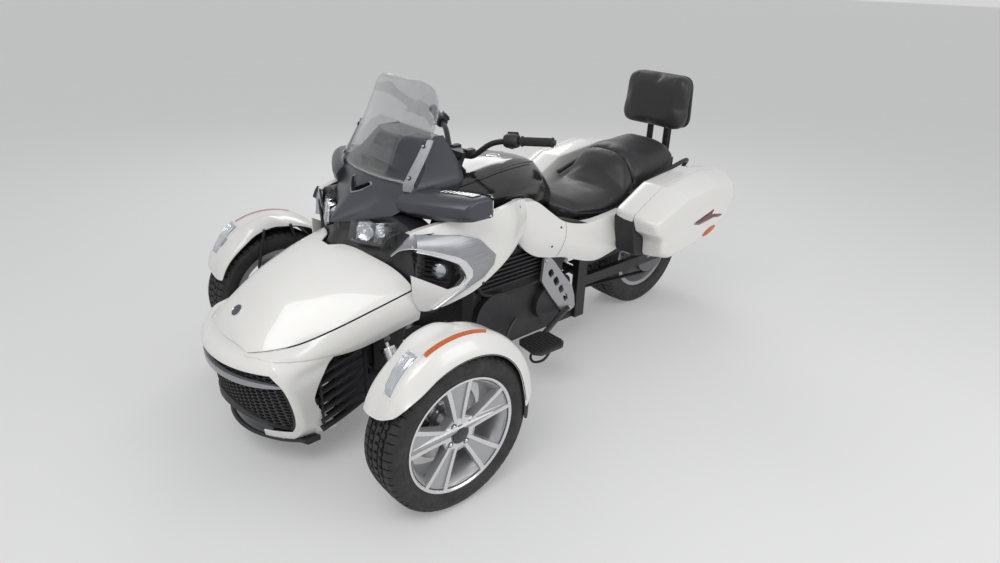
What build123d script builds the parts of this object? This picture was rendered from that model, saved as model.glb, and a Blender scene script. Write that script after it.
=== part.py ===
from build123d import *
import math
import os

os.makedirs("parts", exist_ok=True)

# Three-wheeled roadster: two steered front wheels, one belt-driven rear wheel.
# Millimetres. +X is the rider's left, the front faces -Y, +Z is up, Z = 0 is the ground.

# Driving dimensions
inch = 25.4
wheelbase = 1709
track = 1308
front_axle_y = -800
rear_axle_y = front_axle_y + wheelbase
rim_r = 15 * inch / 2
front_tyre_width = 165
rear_tyre_width = 225
front_r = rim_r + 0.55 * front_tyre_width
rear_r = rim_r + 0.50 * rear_tyre_width
wheel_x = track / 2
fit_gap = 0.3
seam = 5

# Front suspension and steering
king_offset = 64
king_x = wheel_x - king_offset
ball_rise = 112
ear_r = 16
ear_h = 14
spindle_r = 17
steer_arm = 110
steer_arm_drop = 62
arm_pivot_x = 205
arm_pivot_spread = 125
arm_tube_r = 11
rack_r = 6
rod_eye_r = 15
rack_z = front_r - steer_arm_drop + 6 + fit_gap + rod_eye_r / 2

# Frame
rail_x = 150
rail_w = 44
rail_z0 = 125
rail_z1 = 175
bulkhead_x = 185
bulkhead_y0 = front_axle_y - 95
bulkhead_y1 = front_axle_y + 85
frame_rear_y = 360
seat_rail_x = 150
seat_rail_h = 35
seat_rail_z1 = 2 * rear_r + 19
seat_rail_z0 = seat_rail_z1 - seat_rail_h
seat_rail_y1 = rear_axle_y + 76

# Nose and front compartment
lid_wall = 5
tub_wall = 6
tub_floor_z = 335
tub_half = 232
tub_y0 = -1184
tub_y1 = -715
bulkhead_z1 = tub_floor_z - tub_wall - fit_gap
hinge_y = -1259
hinge_z = 468
hinge_pin_r = 3.5
hinge_ear_r = 9
hinge_ear_x = 95
hinge_ear_w = 14

# Rear suspension
swing_pivot_y = 345
swing_z = rear_r
swing_x = 158
swing_w = 30
axle_r = 14

# Saddlebags
bag_in_x = 268
bag_split_x = 380
bag_wall = 5
bag_hinge_z = 448
bag_hinge_x = bag_split_x + 9
bag_pin_r = 4


def save(builder, name):
    builder.part.label = name
    export_step(builder.part, f"parts/{name}.step")


def save_pair(builder, name):
    save(builder, f"{name}_left")
    with BuildPart() as other:
        add(builder.part.mirror(Plane.YZ))
    save(other, f"{name}_right")


def save_both(builder, name):
    with BuildPart() as both:
        add(builder.part)
        mirror(about=Plane.YZ)
    save(both, name)


def face_on(plane, points):
    """A face with a straight-sided outline on a plane."""
    with BuildSketch(plane) as profile:
        with BuildLine():
            Polyline(*points, close=True)
        make_face()
    return profile.sketch


def side_plate(points, x0, x1, mode=Mode.ADD):
    """A plate with its outline in the YZ plane, from x0 to x1."""
    extrude(face_on(Plane.YZ.offset(x0), points), amount=x1 - x0, mode=mode)


def side_loft(inner, outer, x0, x1, mode=Mode.ADD):
    """A flank between two outlines in the YZ plane, at x0 and x1."""
    ends = [face_on(Plane.YZ.offset(x0), inner), face_on(Plane.YZ.offset(x1), outer)]
    loft(sections=ends, ruled=True, mode=mode)


def block(x0, x1, y0, y1, z0, z1, mode=Mode.ADD):
    """A box between two corners."""
    with Locations(((x0 + x1) / 2, (y0 + y1) / 2, (z0 + z1) / 2)):
        Box(x1 - x0, y1 - y0, z1 - z0, mode=mode)


def bar(start, end, radius, mode=Mode.ADD):
    """A round bar from one point to another."""
    run = Vector(*end) - Vector(*start)
    with BuildSketch(Plane(origin=start, z_dir=run)) as end_face:
        Circle(radius)
    extrude(end_face.sketch, amount=run.length, mode=mode)


def lengthwise(rows, outline, mode=Mode.ADD):
    """A ruled loft along Y of outlines in the XZ plane; a row's first value is its y."""
    faces = []
    for row in rows:
        with BuildSketch(Plane.XZ.offset(-row[0])) as profile:
            with BuildLine():
                outline(*row[1:])
            make_face()
        faces.append(profile.sketch)
    loft(sections=faces, ruled=True, mode=mode)


def upward(rows, outline, mode=Mode.ADD):
    """A ruled loft along Z of outlines in the XY plane; a row's first value is its z."""
    faces = []
    for row in rows:
        with BuildSketch(Plane.XY.offset(row[0])) as profile:
            with BuildLine():
                outline(*row[1:])
            make_face()
        faces.append(profile.sketch)
    loft(sections=faces, ruled=True, mode=mode)


# Wheels
def wheel_plane(x, y, z):
    return Plane(origin=(x, y, z), x_dir=(1, 0, 0), z_dir=(0, -1, 0))


def tyre(x, y, radius, width, bead_half):
    """A road tyre around the X axis, solid down to its rim."""
    half = width / 2
    tread_half = half - 16
    groove_w = 5
    groove_d = 6
    with BuildSketch(wheel_plane(x, y, radius)) as profile:
        with BuildLine():
            Polyline(
                (-bead_half, rim_r),
                (-bead_half, rim_r + 18),
                (-half, rim_r + 38),
                (-half + 3, radius - 28),
                (-tread_half, radius - 5),
                (-tread_half / 3 - groove_w, radius),
                (-tread_half / 3 - groove_w, radius - groove_d),
                (-tread_half / 3, radius - groove_d),
                (-tread_half / 3, radius),
                (tread_half / 3, radius),
                (tread_half / 3, radius - groove_d),
                (tread_half / 3 + groove_w, radius - groove_d),
                (tread_half / 3 + groove_w, radius),
                (tread_half, radius - 5),
                (half - 3, radius - 28),
                (half, rim_r + 38),
                (bead_half, rim_r + 18),
                (bead_half, rim_r),
                close=True,
            )
        make_face()
    revolve(profile.sketch, axis=Axis((x, y, radius), (1, 0, 0)))


spoke_pairs = 5
spoke_w = 20
spoke_spread = 13
hub_r = 66
barrel_r = rim_r - 10
flange_r = rim_r + 16
flange_w = 7


def rim(x, y, z, bead_half, face0, face1, hub0, bore_r):
    """A cast rim around the X axis: barrel, paired spokes and hub."""
    flange = bead_half + flange_w
    with BuildSketch(wheel_plane(x, y, z)) as barrel:
        with BuildLine():
            Polyline(
                (-flange, barrel_r + 6),
                (-flange, flange_r),
                (-bead_half, flange_r),
                (-bead_half, rim_r),
                (bead_half, rim_r),
                (bead_half, flange_r),
                (flange, flange_r),
                (flange, barrel_r + 6),
                (bead_half - 8, barrel_r),
                (-bead_half + 8, barrel_r),
                close=True,
            )
        make_face()
    revolve(barrel.sketch, axis=Axis((x, y, z), (1, 0, 0)))
    with BuildSketch(Plane(origin=(x + face0, y, z), x_dir=(0, 1, 0), z_dir=(1, 0, 0))) as spokes:
        Circle(hub_r)
        for lean in (-spoke_spread, spoke_spread):
            with PolarLocations(barrel_r / 2, spoke_pairs, start_angle=90 + lean):
                Rectangle(barrel_r + 4, spoke_w)
    extrude(spokes.sketch, amount=face1 - face0)
    bar((x + hub0, y, z), (x + face0, y, z), hub_r - 12)
    bar((x + hub0, y, z), (x + face0 + 8, y, z), bore_r, mode=Mode.SUBTRACT)


front_bead_half = 68
front_face0 = 40
front_face1 = 60
front_hub0 = -18
front_bore_r = spindle_r + fit_gap

with BuildPart() as front_tyre:
    tyre(wheel_x, front_axle_y, front_r, front_tyre_width, front_bead_half)
save_pair(front_tyre, "tyre")

disc_r = 135
disc_w = 5
disc_hat = 10
disc_x = wheel_x + front_hub0 - disc_hat
with BuildPart() as front_rim:
    rim(wheel_x, front_axle_y, front_r, front_bead_half, front_face0, front_face1,
        front_hub0, front_bore_r)
    bar((disc_x - disc_w, front_axle_y, front_r), (disc_x, front_axle_y, front_r), disc_r)
    bar((disc_x, front_axle_y, front_r), (disc_x + disc_hat, front_axle_y, front_r), hub_r - 14)
    bar((disc_x - disc_w, front_axle_y, front_r), (disc_x + disc_hat, front_axle_y, front_r),
        front_bore_r, mode=Mode.SUBTRACT)
save_pair(front_rim, "rim")

rear_bead_half = 90
rear_face0 = 52
rear_face1 = 72
rear_hub0 = -70
with BuildPart() as rear_tyre:
    tyre(0, rear_axle_y, rear_r, rear_tyre_width, rear_bead_half)
save(rear_tyre, "tyre_rear")

with BuildPart() as rear_rim:
    rim(0, rear_axle_y, rear_r, rear_bead_half, rear_face0, rear_face1, rear_hub0,
        axle_r + fit_gap)
    bar((rear_hub0 - disc_w, rear_axle_y, rear_r), (rear_hub0, rear_axle_y, rear_r), disc_r)
    bar((rear_hub0 - disc_w, rear_axle_y, rear_r), (rear_face1, rear_axle_y, rear_r),
        axle_r + fit_gap, mode=Mode.SUBTRACT)
save(rear_rim, "rim_rear")

# The belt pulley of the rear wheel, outboard of the tyre
pulley_r = 110
pulley_x0 = rear_tyre_width / 2 + 6
pulley_w = 32
with BuildPart() as pulley:
    bar((rear_face1, rear_axle_y, rear_r), (pulley_x0, rear_axle_y, rear_r), 48)
    bar((pulley_x0, rear_axle_y, rear_r), (pulley_x0 + pulley_w, rear_axle_y, rear_r), pulley_r)
    bar((rear_face1, rear_axle_y, rear_r), (pulley_x0 + pulley_w, rear_axle_y, rear_r),
        axle_r + fit_gap, mode=Mode.SUBTRACT)
save(pulley, "belt_pulley")

belt_x0 = pulley_x0 + 3
belt_w = 26
belt_t = 5
sprocket_y = 250
sprocket_r = 45

# Steering knuckles, with the wheel spindle, the ball joint ears and the steering arm
hub_x0 = king_x - 12
hub_x1 = disc_x - disc_w - 6
ball_z_low = front_r - ball_rise
ball_z_high = front_r + ball_rise
arm_end_y = front_axle_y + steer_arm
arm_end_z = front_r - steer_arm_drop
# The brake caliper sits ahead of the axle, on a bracket of the knuckle
caliper_y0 = front_axle_y - 150
caliper_y1 = front_axle_y - 78
caliper_z0 = front_r - 45
caliper_z1 = front_r + 45
caliper_x0 = disc_x - disc_w - 26
caliper_x1 = disc_x + 24
# The fender's stays rise from the knuckle, inboard of the tyre
fender_in = front_tyre_width / 2 + 8
fender_out = front_tyre_width / 2 + 12
stay_r = 6
stay_x = wheel_x - fender_in - stay_r - fit_gap
stay_foot = (king_x - 4, 18, 340)
stay_elbow = (stay_x, 100, 440)
stay_top = (stay_x, 58, front_r + 322)
with BuildPart() as knuckle:
    bar((hub_x0, front_axle_y, front_r), (hub_x1, front_axle_y, front_r), 40)
    bar((hub_x0, front_axle_y, front_r), (wheel_x + front_face0, front_axle_y, front_r),
        spindle_r)
    block(king_x - 12, king_x + 12, front_axle_y - 20, front_axle_y + 20,
          ball_z_low + ear_h - 1, ball_z_high - ear_h + 1)
    for z in (ball_z_low, ball_z_high - ear_h):
        with BuildSketch(Plane.XY.offset(z)):
            with Locations((king_x, front_axle_y)):
                Circle(ear_r)
        extrude(amount=ear_h)
    block(king_x - 10, king_x + 10, front_axle_y, arm_end_y, arm_end_z - 6, arm_end_z + 6)
    bar((king_x, arm_end_y, arm_end_z - 6), (king_x, arm_end_y, arm_end_z + 6), rod_eye_r)
    block(hub_x0, caliper_x0, caliper_y0 + 20, front_axle_y, front_r - 20, front_r + 20)
    for lean in (-1, 1):
        foot, elbow, top = [(x, front_axle_y + lean * y, z) for x, y, z in (stay_foot, stay_elbow, stay_top)]
        bar(foot, elbow, stay_r)
        bar(elbow, top, stay_r)
    block(caliper_x0, caliper_x1, caliper_y0, caliper_y1, caliper_z0, caliper_z1)
    block(disc_x - disc_w - 6, disc_x + 6, front_axle_y - disc_r - 6, caliper_y1 + 1,
          caliper_z0 - 1, caliper_z1 + 1, mode=Mode.SUBTRACT)
save_pair(knuckle, "knuckle")

# Fenders ride on the knuckles; each row is a section on a plane through the wheel's axis
fender_wall = 4
fender_rows = (
    # angle above the front, crown radius, inner edge radius, skirt edge radius
    (32, 318, 300, 302),
    (48, 330, 304, 312),
    (70, 349, 312, 300),
    (95, 352, 318, 287),
    (122, 345, 320, 282),
    (150, 328, 315, 268),
    (176, 318, 300, 258),
)


def fender_section(crown, inner, skirt):
    """Outer and inner wall of the fender as (x, radius) points."""
    wall = fender_wall
    drop = min(16, 0.5 * (crown - inner))
    side = skirt + (crown - drop - skirt) * 0.5
    Polyline(
        (-fender_in, inner),
        (-fender_in + 6, crown - drop),
        (-fender_in + 34, crown),
        (fender_out - 44, crown),
        (fender_out - 10, crown - drop),
        (fender_out, side),
        (fender_out, skirt),
        (fender_out - wall, skirt),
        (fender_out - wall, side - wall / 2),
        (fender_out - 10 - wall, crown - drop - wall),
        (fender_out - 46, crown - wall),
        (-fender_in + 36, crown - wall),
        (-fender_in + 6 + wall, crown - drop - wall),
        (-fender_in + wall, inner),
        close=True,
    )


def radial_plane(angle):
    """A plane through the wheel's axis; its y runs outwards at an angle above the front."""
    turn = math.radians(angle)
    radial = Vector(0, -math.cos(turn), math.sin(turn))
    return Plane(origin=(wheel_x, front_axle_y, front_r), x_dir=(1, 0, 0),
                 z_dir=Vector(1, 0, 0).cross(radial))


with BuildPart() as fender:
    faces = []
    for angle, crown, inner, skirt in fender_rows:
        with BuildSketch(radial_plane(angle)) as profile:
            with BuildLine():
                fender_section(crown, inner, skirt)
            make_face()
        faces.append(profile.sketch)
    loft(sections=faces, ruled=True)
save_pair(fender, "fender")


def on_crown(rows, x0, x1, height):
    """A strip on the fender's crown, through the given rows."""
    faces = []
    for angle, crown, inner, skirt in rows:
        low, high = crown + fit_gap, crown + height
        points = ((x0, low), (x1, low), (x1, high), (x0, high))
        faces.append(face_on(radial_plane(angle), points))
    loft(sections=faces, ruled=True)


with BuildPart() as fender_lamp:
    on_crown(fender_rows[1:3], -10, 24, 9)
    on_crown(fender_rows[2:5], fender_out - 62, fender_out - 46, 4)
save_pair(fender_lamp, "fender_lamps")

# Chassis: bottom rails, front bulkhead, shock towers, steering column, rear uprights, seat rails
tower_x0 = tub_half + tub_wall + 2
tower_x1 = tower_x0 + 12
tower_z1 = 470
steer_tilt = 25
steer_v = Vector(0, math.sin(math.radians(steer_tilt)), math.cos(math.radians(steer_tilt)))
column_top = Vector(0, -308, 822)
column_low = column_top - steer_v * 735
engine_y0 = -380
engine_y1 = 190
engine_x = 215
engine_z1 = 600
upright_y0 = frame_rear_y - 60
upright_x0 = rear_tyre_width / 2 + 44
upright_x1 = upright_x0 + 34
panel_in_x = 232
flank_in_x = 252
tank_z0 = 660
lamp_z0 = 745
nose_rail_z0 = 190
nose_rail_h = 32
with BuildPart() as chassis:
    for x in (-rail_x, rail_x):
        block(x - rail_w / 2, x + rail_w / 2, bulkhead_y0, frame_rear_y, rail_z0, rail_z1)
    for y in (-675, -20, frame_rear_y - 40):
        block(-rail_x, rail_x, y, y + 40, rail_z0, rail_z1)
    block(-bulkhead_x, bulkhead_x, bulkhead_y0, bulkhead_y1, rail_z0 + 20, bulkhead_z1)
    bar(tuple(column_low), tuple(column_top), 26)
    for x0, x1 in ((upright_x0, upright_x1), (-upright_x1, -upright_x0)):
        block(x0, x1, upright_y0, frame_rear_y, rail_z0, seat_rail_z0)
    for x0, x1 in ((upright_x1 - 5, panel_in_x - fit_gap), (fit_gap - panel_in_x, 5 - upright_x1)):
        block(x0, x1, upright_y0 + 10, upright_y0 + 40, 560, 580)
    for x0, x1 in ((80, 100), (-100, -80)):
        block(x0, x1, -662, -642, rail_z0 + 20, lamp_z0 - fit_gap)
    for x0, x1 in ((90, flank_in_x - fit_gap), (fit_gap - flank_in_x, -90)):
        block(x0, x1, -657, -642, 600, 620)
    bar((-bulkhead_x, arm_end_y, rack_z), (bulkhead_x, arm_end_y, rack_z), 20)
    block(-60, 60, bulkhead_y1 - 1, arm_end_y, rack_z - 14, rack_z + 14)
    bar((-bulkhead_x, arm_end_y, rack_z), (bulkhead_x, arm_end_y, rack_z), rack_r + fit_gap,
        mode=Mode.SUBTRACT)
save(chassis, "chassis_frame")

# Ahead of the bulkhead, rails carry the nose; beside it, towers carry the shock absorbers
with BuildPart() as front_frame:
    for x in (-rail_x, rail_x):
        block(x - rail_w / 2, x + rail_w / 2, -1160, bulkhead_y0, nose_rail_z0,
              nose_rail_z0 + nose_rail_h)
    block(-250, 250, -1100, -1075, nose_rail_z0 + 5, nose_rail_z0 + nose_rail_h - 5)
    for side in (-1, 1):
        block(min(side * bulkhead_x, side * tower_x1), max(side * bulkhead_x, side * tower_x1),
              front_axle_y - 32, front_axle_y + 32, bulkhead_z1 - 22, bulkhead_z1)
        block(min(side * tower_x0, side * tower_x1), max(side * tower_x0, side * tower_x1),
              front_axle_y - 32, front_axle_y + 32, bulkhead_z1 - 22, tower_z1)
save(front_frame, "front_subframe")

# The rails under the seats, with what carries the tank cover and the saddlebags
with BuildPart() as seat_frame:
    for x in (-seat_rail_x, seat_rail_x):
        block(x - 14, x + 14, upright_y0, seat_rail_y1, seat_rail_z0, seat_rail_z1)
    block(-upright_x1, upright_x1, upright_y0, upright_y0 + 34, seat_rail_z0, seat_rail_z1)
    block(-40, 40, 100, upright_y0 + 10, engine_z1 + 5, seat_rail_z1)
    block(-40, 40, -80, 130, engine_z1 + 5, tank_z0 - fit_gap)
    block(-seat_rail_x, seat_rail_x, seat_rail_y1 - 30, seat_rail_y1, 2 * rear_r + 4, seat_rail_z1)
    for y in (700, 900):
        for x0, x1 in ((seat_rail_x, bag_in_x - fit_gap), (fit_gap - bag_in_x, -seat_rail_x)):
            block(x0, x1, y, y + 30, seat_rail_z0 + 4, seat_rail_z1 - 4)
save(seat_frame, "seat_frame")

# Double wishbones; the lower one carries the shock absorber
sleeve_r = 15
pivot_x = bulkhead_x + sleeve_r + fit_gap
low_ball_z = ball_z_low - fit_gap
high_ball_z = ball_z_high + fit_gap
shock_x = 470
shock_foot_z = 178
shock_top_z = 440
with BuildPart() as wishbones:
    bar((king_x, front_axle_y, low_ball_z - 24), (king_x, front_axle_y, low_ball_z), ear_r)
    for lean in (-0.6, 0.6):
        pivot_y = front_axle_y + lean * arm_pivot_spread
        bar((king_x, front_axle_y, low_ball_z - 13), (pivot_x, pivot_y, 196), arm_tube_r - 1)
        bar((pivot_x, pivot_y - 16, 196), (pivot_x, pivot_y + 16, 196), sleeve_r)
    bar((shock_x, front_axle_y - 26, 168), (shock_x, front_axle_y + 26, 168), 9)
    bar((king_x, front_axle_y, high_ball_z), (king_x, front_axle_y, high_ball_z + 30), ear_r)
    for lean in (-0.62, 0.62):
        pivot_y = front_axle_y + lean * arm_pivot_spread
        bar((king_x, front_axle_y, high_ball_z + 17), (pivot_x, pivot_y, 300), arm_tube_r - 1)
        bar((pivot_x, pivot_y - 16, 300), (pivot_x, pivot_y + 16, 300), sleeve_r)
    mirror(about=Plane.YZ)
save(wishbones, "wishbones")

# The steering rack slides sideways; its rod ends lie on the steering arms
with BuildPart() as rack:
    bar((-king_x, arm_end_y, rack_z), (king_x, arm_end_y, rack_z), rack_r)
    for x in (-king_x, king_x):
        bar((x, arm_end_y, rack_z - rod_eye_r / 2), (x, arm_end_y, rack_z + rod_eye_r / 2), rod_eye_r)
save(rack, "steering_rack")

# Engine block
with BuildPart() as engine:
    block(-engine_x, engine_x, engine_y0, engine_y1, rail_z1 + fit_gap, engine_z1)
    chamfer(engine.edges().filter_by(Axis.Z), 30)
    for x0, x1 in ((engine_x, engine_x + 32), (-engine_x - 32, -engine_x)):
        bar((x0, -250, 330), (x1, -250, 330), 105)
        bar((x0, 60, 300), (x1, 60, 300), 80)
    bar((belt_x0, sprocket_y, rear_r), (belt_x0 + belt_w, sprocket_y, rear_r), sprocket_r)
    bar((belt_x0 - 22, sprocket_y, rear_r), (belt_x0 + 1, sprocket_y, rear_r), 18)
    block(belt_x0 - 22, belt_x0 - 2, engine_y1 - 1, sprocket_y, rear_r - 15, rear_r + 15)
save(engine, "engine_block")

# Nose: a white fascia around the grilles, open behind
fascia_wall = 6
fascia_y1 = -1005
fascia_rows = (
    # z, front y at the centre, corner x, corner y, rear x
    (140, -1262, 228, -1170, 262),
    (220, -1300, 258, -1130, 280),
    (440, -1317, 264, -1196, 294),
)
grille_z0 = 196
grille_z1 = 438
grille_half = 224


def nose_outline(front_y, corner_x, corner_y, rear_x):
    Polyline((corner_x, corner_y), (rear_x, fascia_y1), (-rear_x, fascia_y1), (-corner_x, corner_y))
    ThreePointArc((-corner_x, corner_y), (0, front_y), (corner_x, corner_y))


def nose_inside(front_y, corner_x, corner_y, rear_x):
    wall = fascia_wall
    Polyline((corner_x - wall, corner_y + 4), (rear_x - wall, fascia_y1 + 1),
             (wall - rear_x, fascia_y1 + 1), (wall - corner_x, corner_y + 4))
    ThreePointArc((wall - corner_x, corner_y + 4), (0, front_y + wall), (corner_x - wall, corner_y + 4))


nose_cap_rows = (
    # z, front y at the centre, corner x, corner y, rear x
    (440, -1317, 264, -1196, 265),
    (458, -1300, 250, -1195, 252),
    (472, -1276, 232, -1194, 234),
)
cap_y1 = -1186


def cap_outline(front_y, corner_x, corner_y, rear_x):
    Polyline((corner_x, corner_y), (rear_x, cap_y1), (-rear_x, cap_y1), (-corner_x, corner_y))
    ThreePointArc((-corner_x, corner_y), (0, front_y), (corner_x, corner_y))


with BuildPart() as fascia:
    upward(fascia_rows, nose_outline)
    upward(fascia_rows, nose_inside, mode=Mode.SUBTRACT)
    upward(nose_cap_rows, cap_outline)
    block(-235, 235, hinge_y - 12, cap_y1 + 1, 441, 490, mode=Mode.SUBTRACT)
    block(-grille_half, grille_half, -1330, -1160, grille_z0, grille_z1, mode=Mode.SUBTRACT)
    for x in (-1, 1):
        for end in (hinge_ear_x - hinge_ear_w / 2 - 12, hinge_ear_x + hinge_ear_w / 2 + 1):
            x0, x1 = sorted((x * end, x * (end + 11)))
            block(x0, x1, hinge_y - 16, hinge_y + 6, hinge_z - 27, hinge_z + 5)
        x0, x1 = sorted((x * (hinge_ear_x - 20), x * (hinge_ear_x + 20)))
        bar((x0, hinge_y, hinge_z), (x1, hinge_y, hinge_z), hinge_pin_r)
save(fascia, "nose_fascia")

# Grilles: black bars across the mouth, and the silver strip between them
grille_rows_upper = (405, 436)
grille_rows_lower = (205, 372)
strip_z0 = 376
strip_z1 = 400


def nose_at(z):
    """The fascia's front y, corner x and corner y at a height between its rows."""
    low, high = fascia_rows[1], fascia_rows[2]
    if z < low[0]:
        low, high = fascia_rows[0], low
    share = (z - low[0]) / (high[0] - low[0])
    return [low[i] + share * (high[i] - low[i]) for i in (1, 2, 3)]


def mouth_outline(half, set_back, depth, z):
    """A curved band as far behind the fascia's front, and as deep, as given."""
    front_y, corner_x, corner_y = nose_at(z)
    rise = corner_y - front_y
    radius = (corner_x ** 2 + rise ** 2) / (2 * rise)
    y0 = front_y + set_back
    side_y = y0 + radius - math.sqrt(radius ** 2 - half ** 2)
    Line((half, side_y), (half, side_y + depth))
    ThreePointArc((half, side_y + depth), (0, y0 + depth), (-half, side_y + depth))
    Line((-half, side_y + depth), (-half, side_y))
    ThreePointArc((-half, side_y), (0, y0), (half, side_y))


def mouth_band(z0, z1, set_back, depth):
    half = grille_half - fit_gap
    upward(((z0, half, set_back, depth, z0), (z1, half, set_back, depth, z1)), mouth_outline)


plate_back = 15
with BuildPart() as grille:
    for z0, z1 in (grille_rows_upper, grille_rows_lower):
        mouth_band(z0 - 3, z1 + 1, plate_back, 4)
        bars = int((z1 - z0) / 15)
        for row in range(bars + 1):
            z = z0 + row * (z1 - z0 - 4) / bars
            mouth_band(z, z + 4, 3, plate_back - 1)
save(grille, "front_grilles")

with BuildPart() as strip:
    mouth_band(strip_z0, strip_z1, 1, 18)
save(strip, "grille_strip")

# Lower lip under the mouth
with BuildPart() as lip:
    upward(((116, -1225, 150, -1165, 190), (140 - fit_gap, -1262, 224, -1172, 256)), nose_outline)
    upward(((122, -1218, 144, -1160, 184), (140, -1254, 218, -1166, 250)), nose_inside,
           mode=Mode.SUBTRACT)
save(lip, "front_lip")

# Front compartment and shoulders, one shell
shell_rows = (
    # y, lid half width, lid edge z, crown z, tub half width, shoulder x, shoulder z
    (tub_y0, 203, 490, 580, 150, 264, 446),
    (-1100, 240, 502, 645, 200, 286, 446),
    (-985, 275, 536, 700, tub_half, 304, 452),
    (-858, 305, 578, 728, tub_half, 326, 496),
    (-700, 336, 628, 748, tub_half, 358, 552),
)


def tub_outline(half, edge_z, crown_z, tub_x, out_x, out_z):
    shelf_z = edge_z - lid_wall - seam - 4
    right = [
        (tub_x + tub_wall, tub_floor_z - tub_wall),
        (tub_x + tub_wall, out_z + 6),
        (out_x - 14, out_z),
        (out_x, out_z + 8),
        (half + seam, edge_z - 2),
        (half + seam, shelf_z),
        (half - 20, shelf_z),
        (tub_x, shelf_z - 20),
        (tub_x, tub_floor_z),
    ]
    left = [(-x, z) for x, z in reversed(right)]
    Polyline(*right, *left, close=True)


with BuildPart() as tub:
    lengthwise(shell_rows, tub_outline)
    first = shell_rows[0]
    last = shell_rows[-1]
    block(-first[4] - 1, first[4] + 1, tub_y0, tub_y0 + tub_wall, tub_floor_z, 470)
    block(-tub_half - 1, tub_half + 1, tub_y1, tub_y1 + tub_wall, tub_floor_z, 590)
save(tub, "front_compartment")

lid_rear = ((0, -862), (100, -802), (180, -772), (336, -706))
lid_rows = ((-1252, 140, 478, 506, 0, 0, 0),) + shell_rows


def lid_outline(half, edge_z, crown_z, *rest):
    ThreePointArc((-half, edge_z), (0, crown_z), (half, edge_z))
    Line((half, edge_z), (half, edge_z - lid_wall))
    ThreePointArc((half, edge_z - lid_wall), (0, crown_z - lid_wall), (-half, edge_z - lid_wall))
    Line((-half, edge_z - lid_wall), (-half, edge_z))


with BuildPart() as lid:
    lengthwise(lid_rows, lid_outline)
    with BuildSketch(Plane.XY.offset(400)) as behind:
        with BuildLine():
            right = [(x, y) for x, y in lid_rear]
            left = [(-x, y) for x, y in reversed(lid_rear[1:])]
            Polyline(*right, (500, -700), (500, -600), (-500, -600), (-500, -700), *left, close=True)
        make_face()
    extrude(behind.sketch, amount=500, mode=Mode.SUBTRACT)
    for side in (-1, 1):
        x0, x1 = sorted((side * (hinge_ear_x - hinge_ear_w / 2), side * (hinge_ear_x + hinge_ear_w / 2)))
        side_plate(((hinge_y - 6, hinge_z + 6), (hinge_y - 6, hinge_z - 7), (hinge_y + 30, hinge_z - 7),
                    (hinge_y + 60, 546), (hinge_y + 30, 514)), x0, x1)
        bar((x0, hinge_y, hinge_z), (x1, hinge_y, hinge_z), hinge_pin_r + fit_gap, mode=Mode.SUBTRACT)
save(lid, "front_lid")

# Side radiators behind slatted intakes
radiator_x0 = tub_half + tub_wall + 8
radiator_x1 = radiator_x0 + 42
with BuildPart() as radiator:
    block(radiator_x0, radiator_x1, -1000, -880, 190, 430)
    for row in range(9):
        z = 200 + row * 26
        block(radiator_x1 - 1, radiator_x1 + 9, -1000, -880, z, z + 10)
    block(rail_x + rail_w / 2 + fit_gap, radiator_x0, -960, -950, 195, 218)
    mirror(about=Plane.YZ)
save(radiator, "side_radiators")

# Upper cowl: a faceted shell, open behind and below; half outlines from the front to the rear
cowl_wall = 6
cowl_rows = (
    # z, front y, inner facet x and y, corner x and y, rear y
    (800, -838, 30, -806, 62, -772, -560),
    (838, -800, 90, -745, 182, -702, -470),
    (900, -732, 120, -695, 228, -652, -430),
    (945, -690, 120, -668, 250, -632, -420),
    (1000, -628, 105, -615, 212, -570, -420),
    (1085, -574, 80, -562, 140, -530, -440),
)


def cowl_outline(front_y, facet_x, facet_y, corner_x, corner_y, rear_y):
    right = [(facet_x, facet_y), (corner_x, corner_y), (corner_x, rear_y)]
    left = [(-x, y) for x, y in reversed(right)]
    Polyline((0, front_y), *right, *left, close=True)


def cowl_inside(front_y, facet_x, facet_y, corner_x, corner_y, rear_y):
    wall = cowl_wall
    cowl_outline(front_y + 1.6 * wall, facet_x - 2, facet_y + 1.4 * wall, corner_x - wall,
                 corner_y + wall, rear_y + 2)


with BuildPart() as cowl:
    upward(cowl_rows, cowl_outline)
    upward([(row[0] - 8 * (i == len(cowl_rows) - 1), *row[1:]) for i, row in enumerate(cowl_rows)],
           cowl_inside, mode=Mode.SUBTRACT)
save(cowl, "upper_cowl")

# Headlamp housing under the cowl, a lamp on each side
lamp_z1 = 800 - fit_gap
with BuildPart() as lamp_housing:
    with BuildSketch(Plane.XY.offset(lamp_z0)) as plan:
        with BuildLine():
            right = [(20, -812), (92, -760), (235, -715), (235, -650), (20, -650)]
            Polyline(*right, *[(-x, y) for x, y in reversed(right)], close=True)
        make_face()
    extrude(plan.sketch, amount=lamp_z1 - lamp_z0)
save(lamp_housing, "headlamp_housing")

with BuildPart() as headlamp:
    with BuildSketch(Plane.XY.offset(lamp_z0 + 8)) as plan:
        with BuildLine():
            Polyline((100, -782), (178, -757), (178, -733.5), (100, -758.5), close=True)
        make_face()
    extrude(plan.sketch, amount=38)
    mirror(about=Plane.YZ)
save(headlamp, "headlamps")

# Windshield: a thin curved sheet on two brackets
screen_wall = 5
screen_rows = (
    # z, centre y, half width, side y
    (958, -690, 232, -648),
    (1090, -600, 200, -545),
    (1200, -548, 188, -502),
    (1262, -522, 140, -498),
    (1276, -516, 100, -503),
)


def screen_outline(front_y, half, side_y):
    Line((half, side_y), (half, side_y + screen_wall))
    ThreePointArc((half, side_y + screen_wall), (0, front_y + screen_wall), (-half, side_y + screen_wall))
    Line((-half, side_y + screen_wall), (-half, side_y))
    ThreePointArc((-half, side_y), (0, front_y), (half, side_y))


with BuildPart() as screen:
    upward(screen_rows, screen_outline)
save(screen, "windshield")

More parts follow.
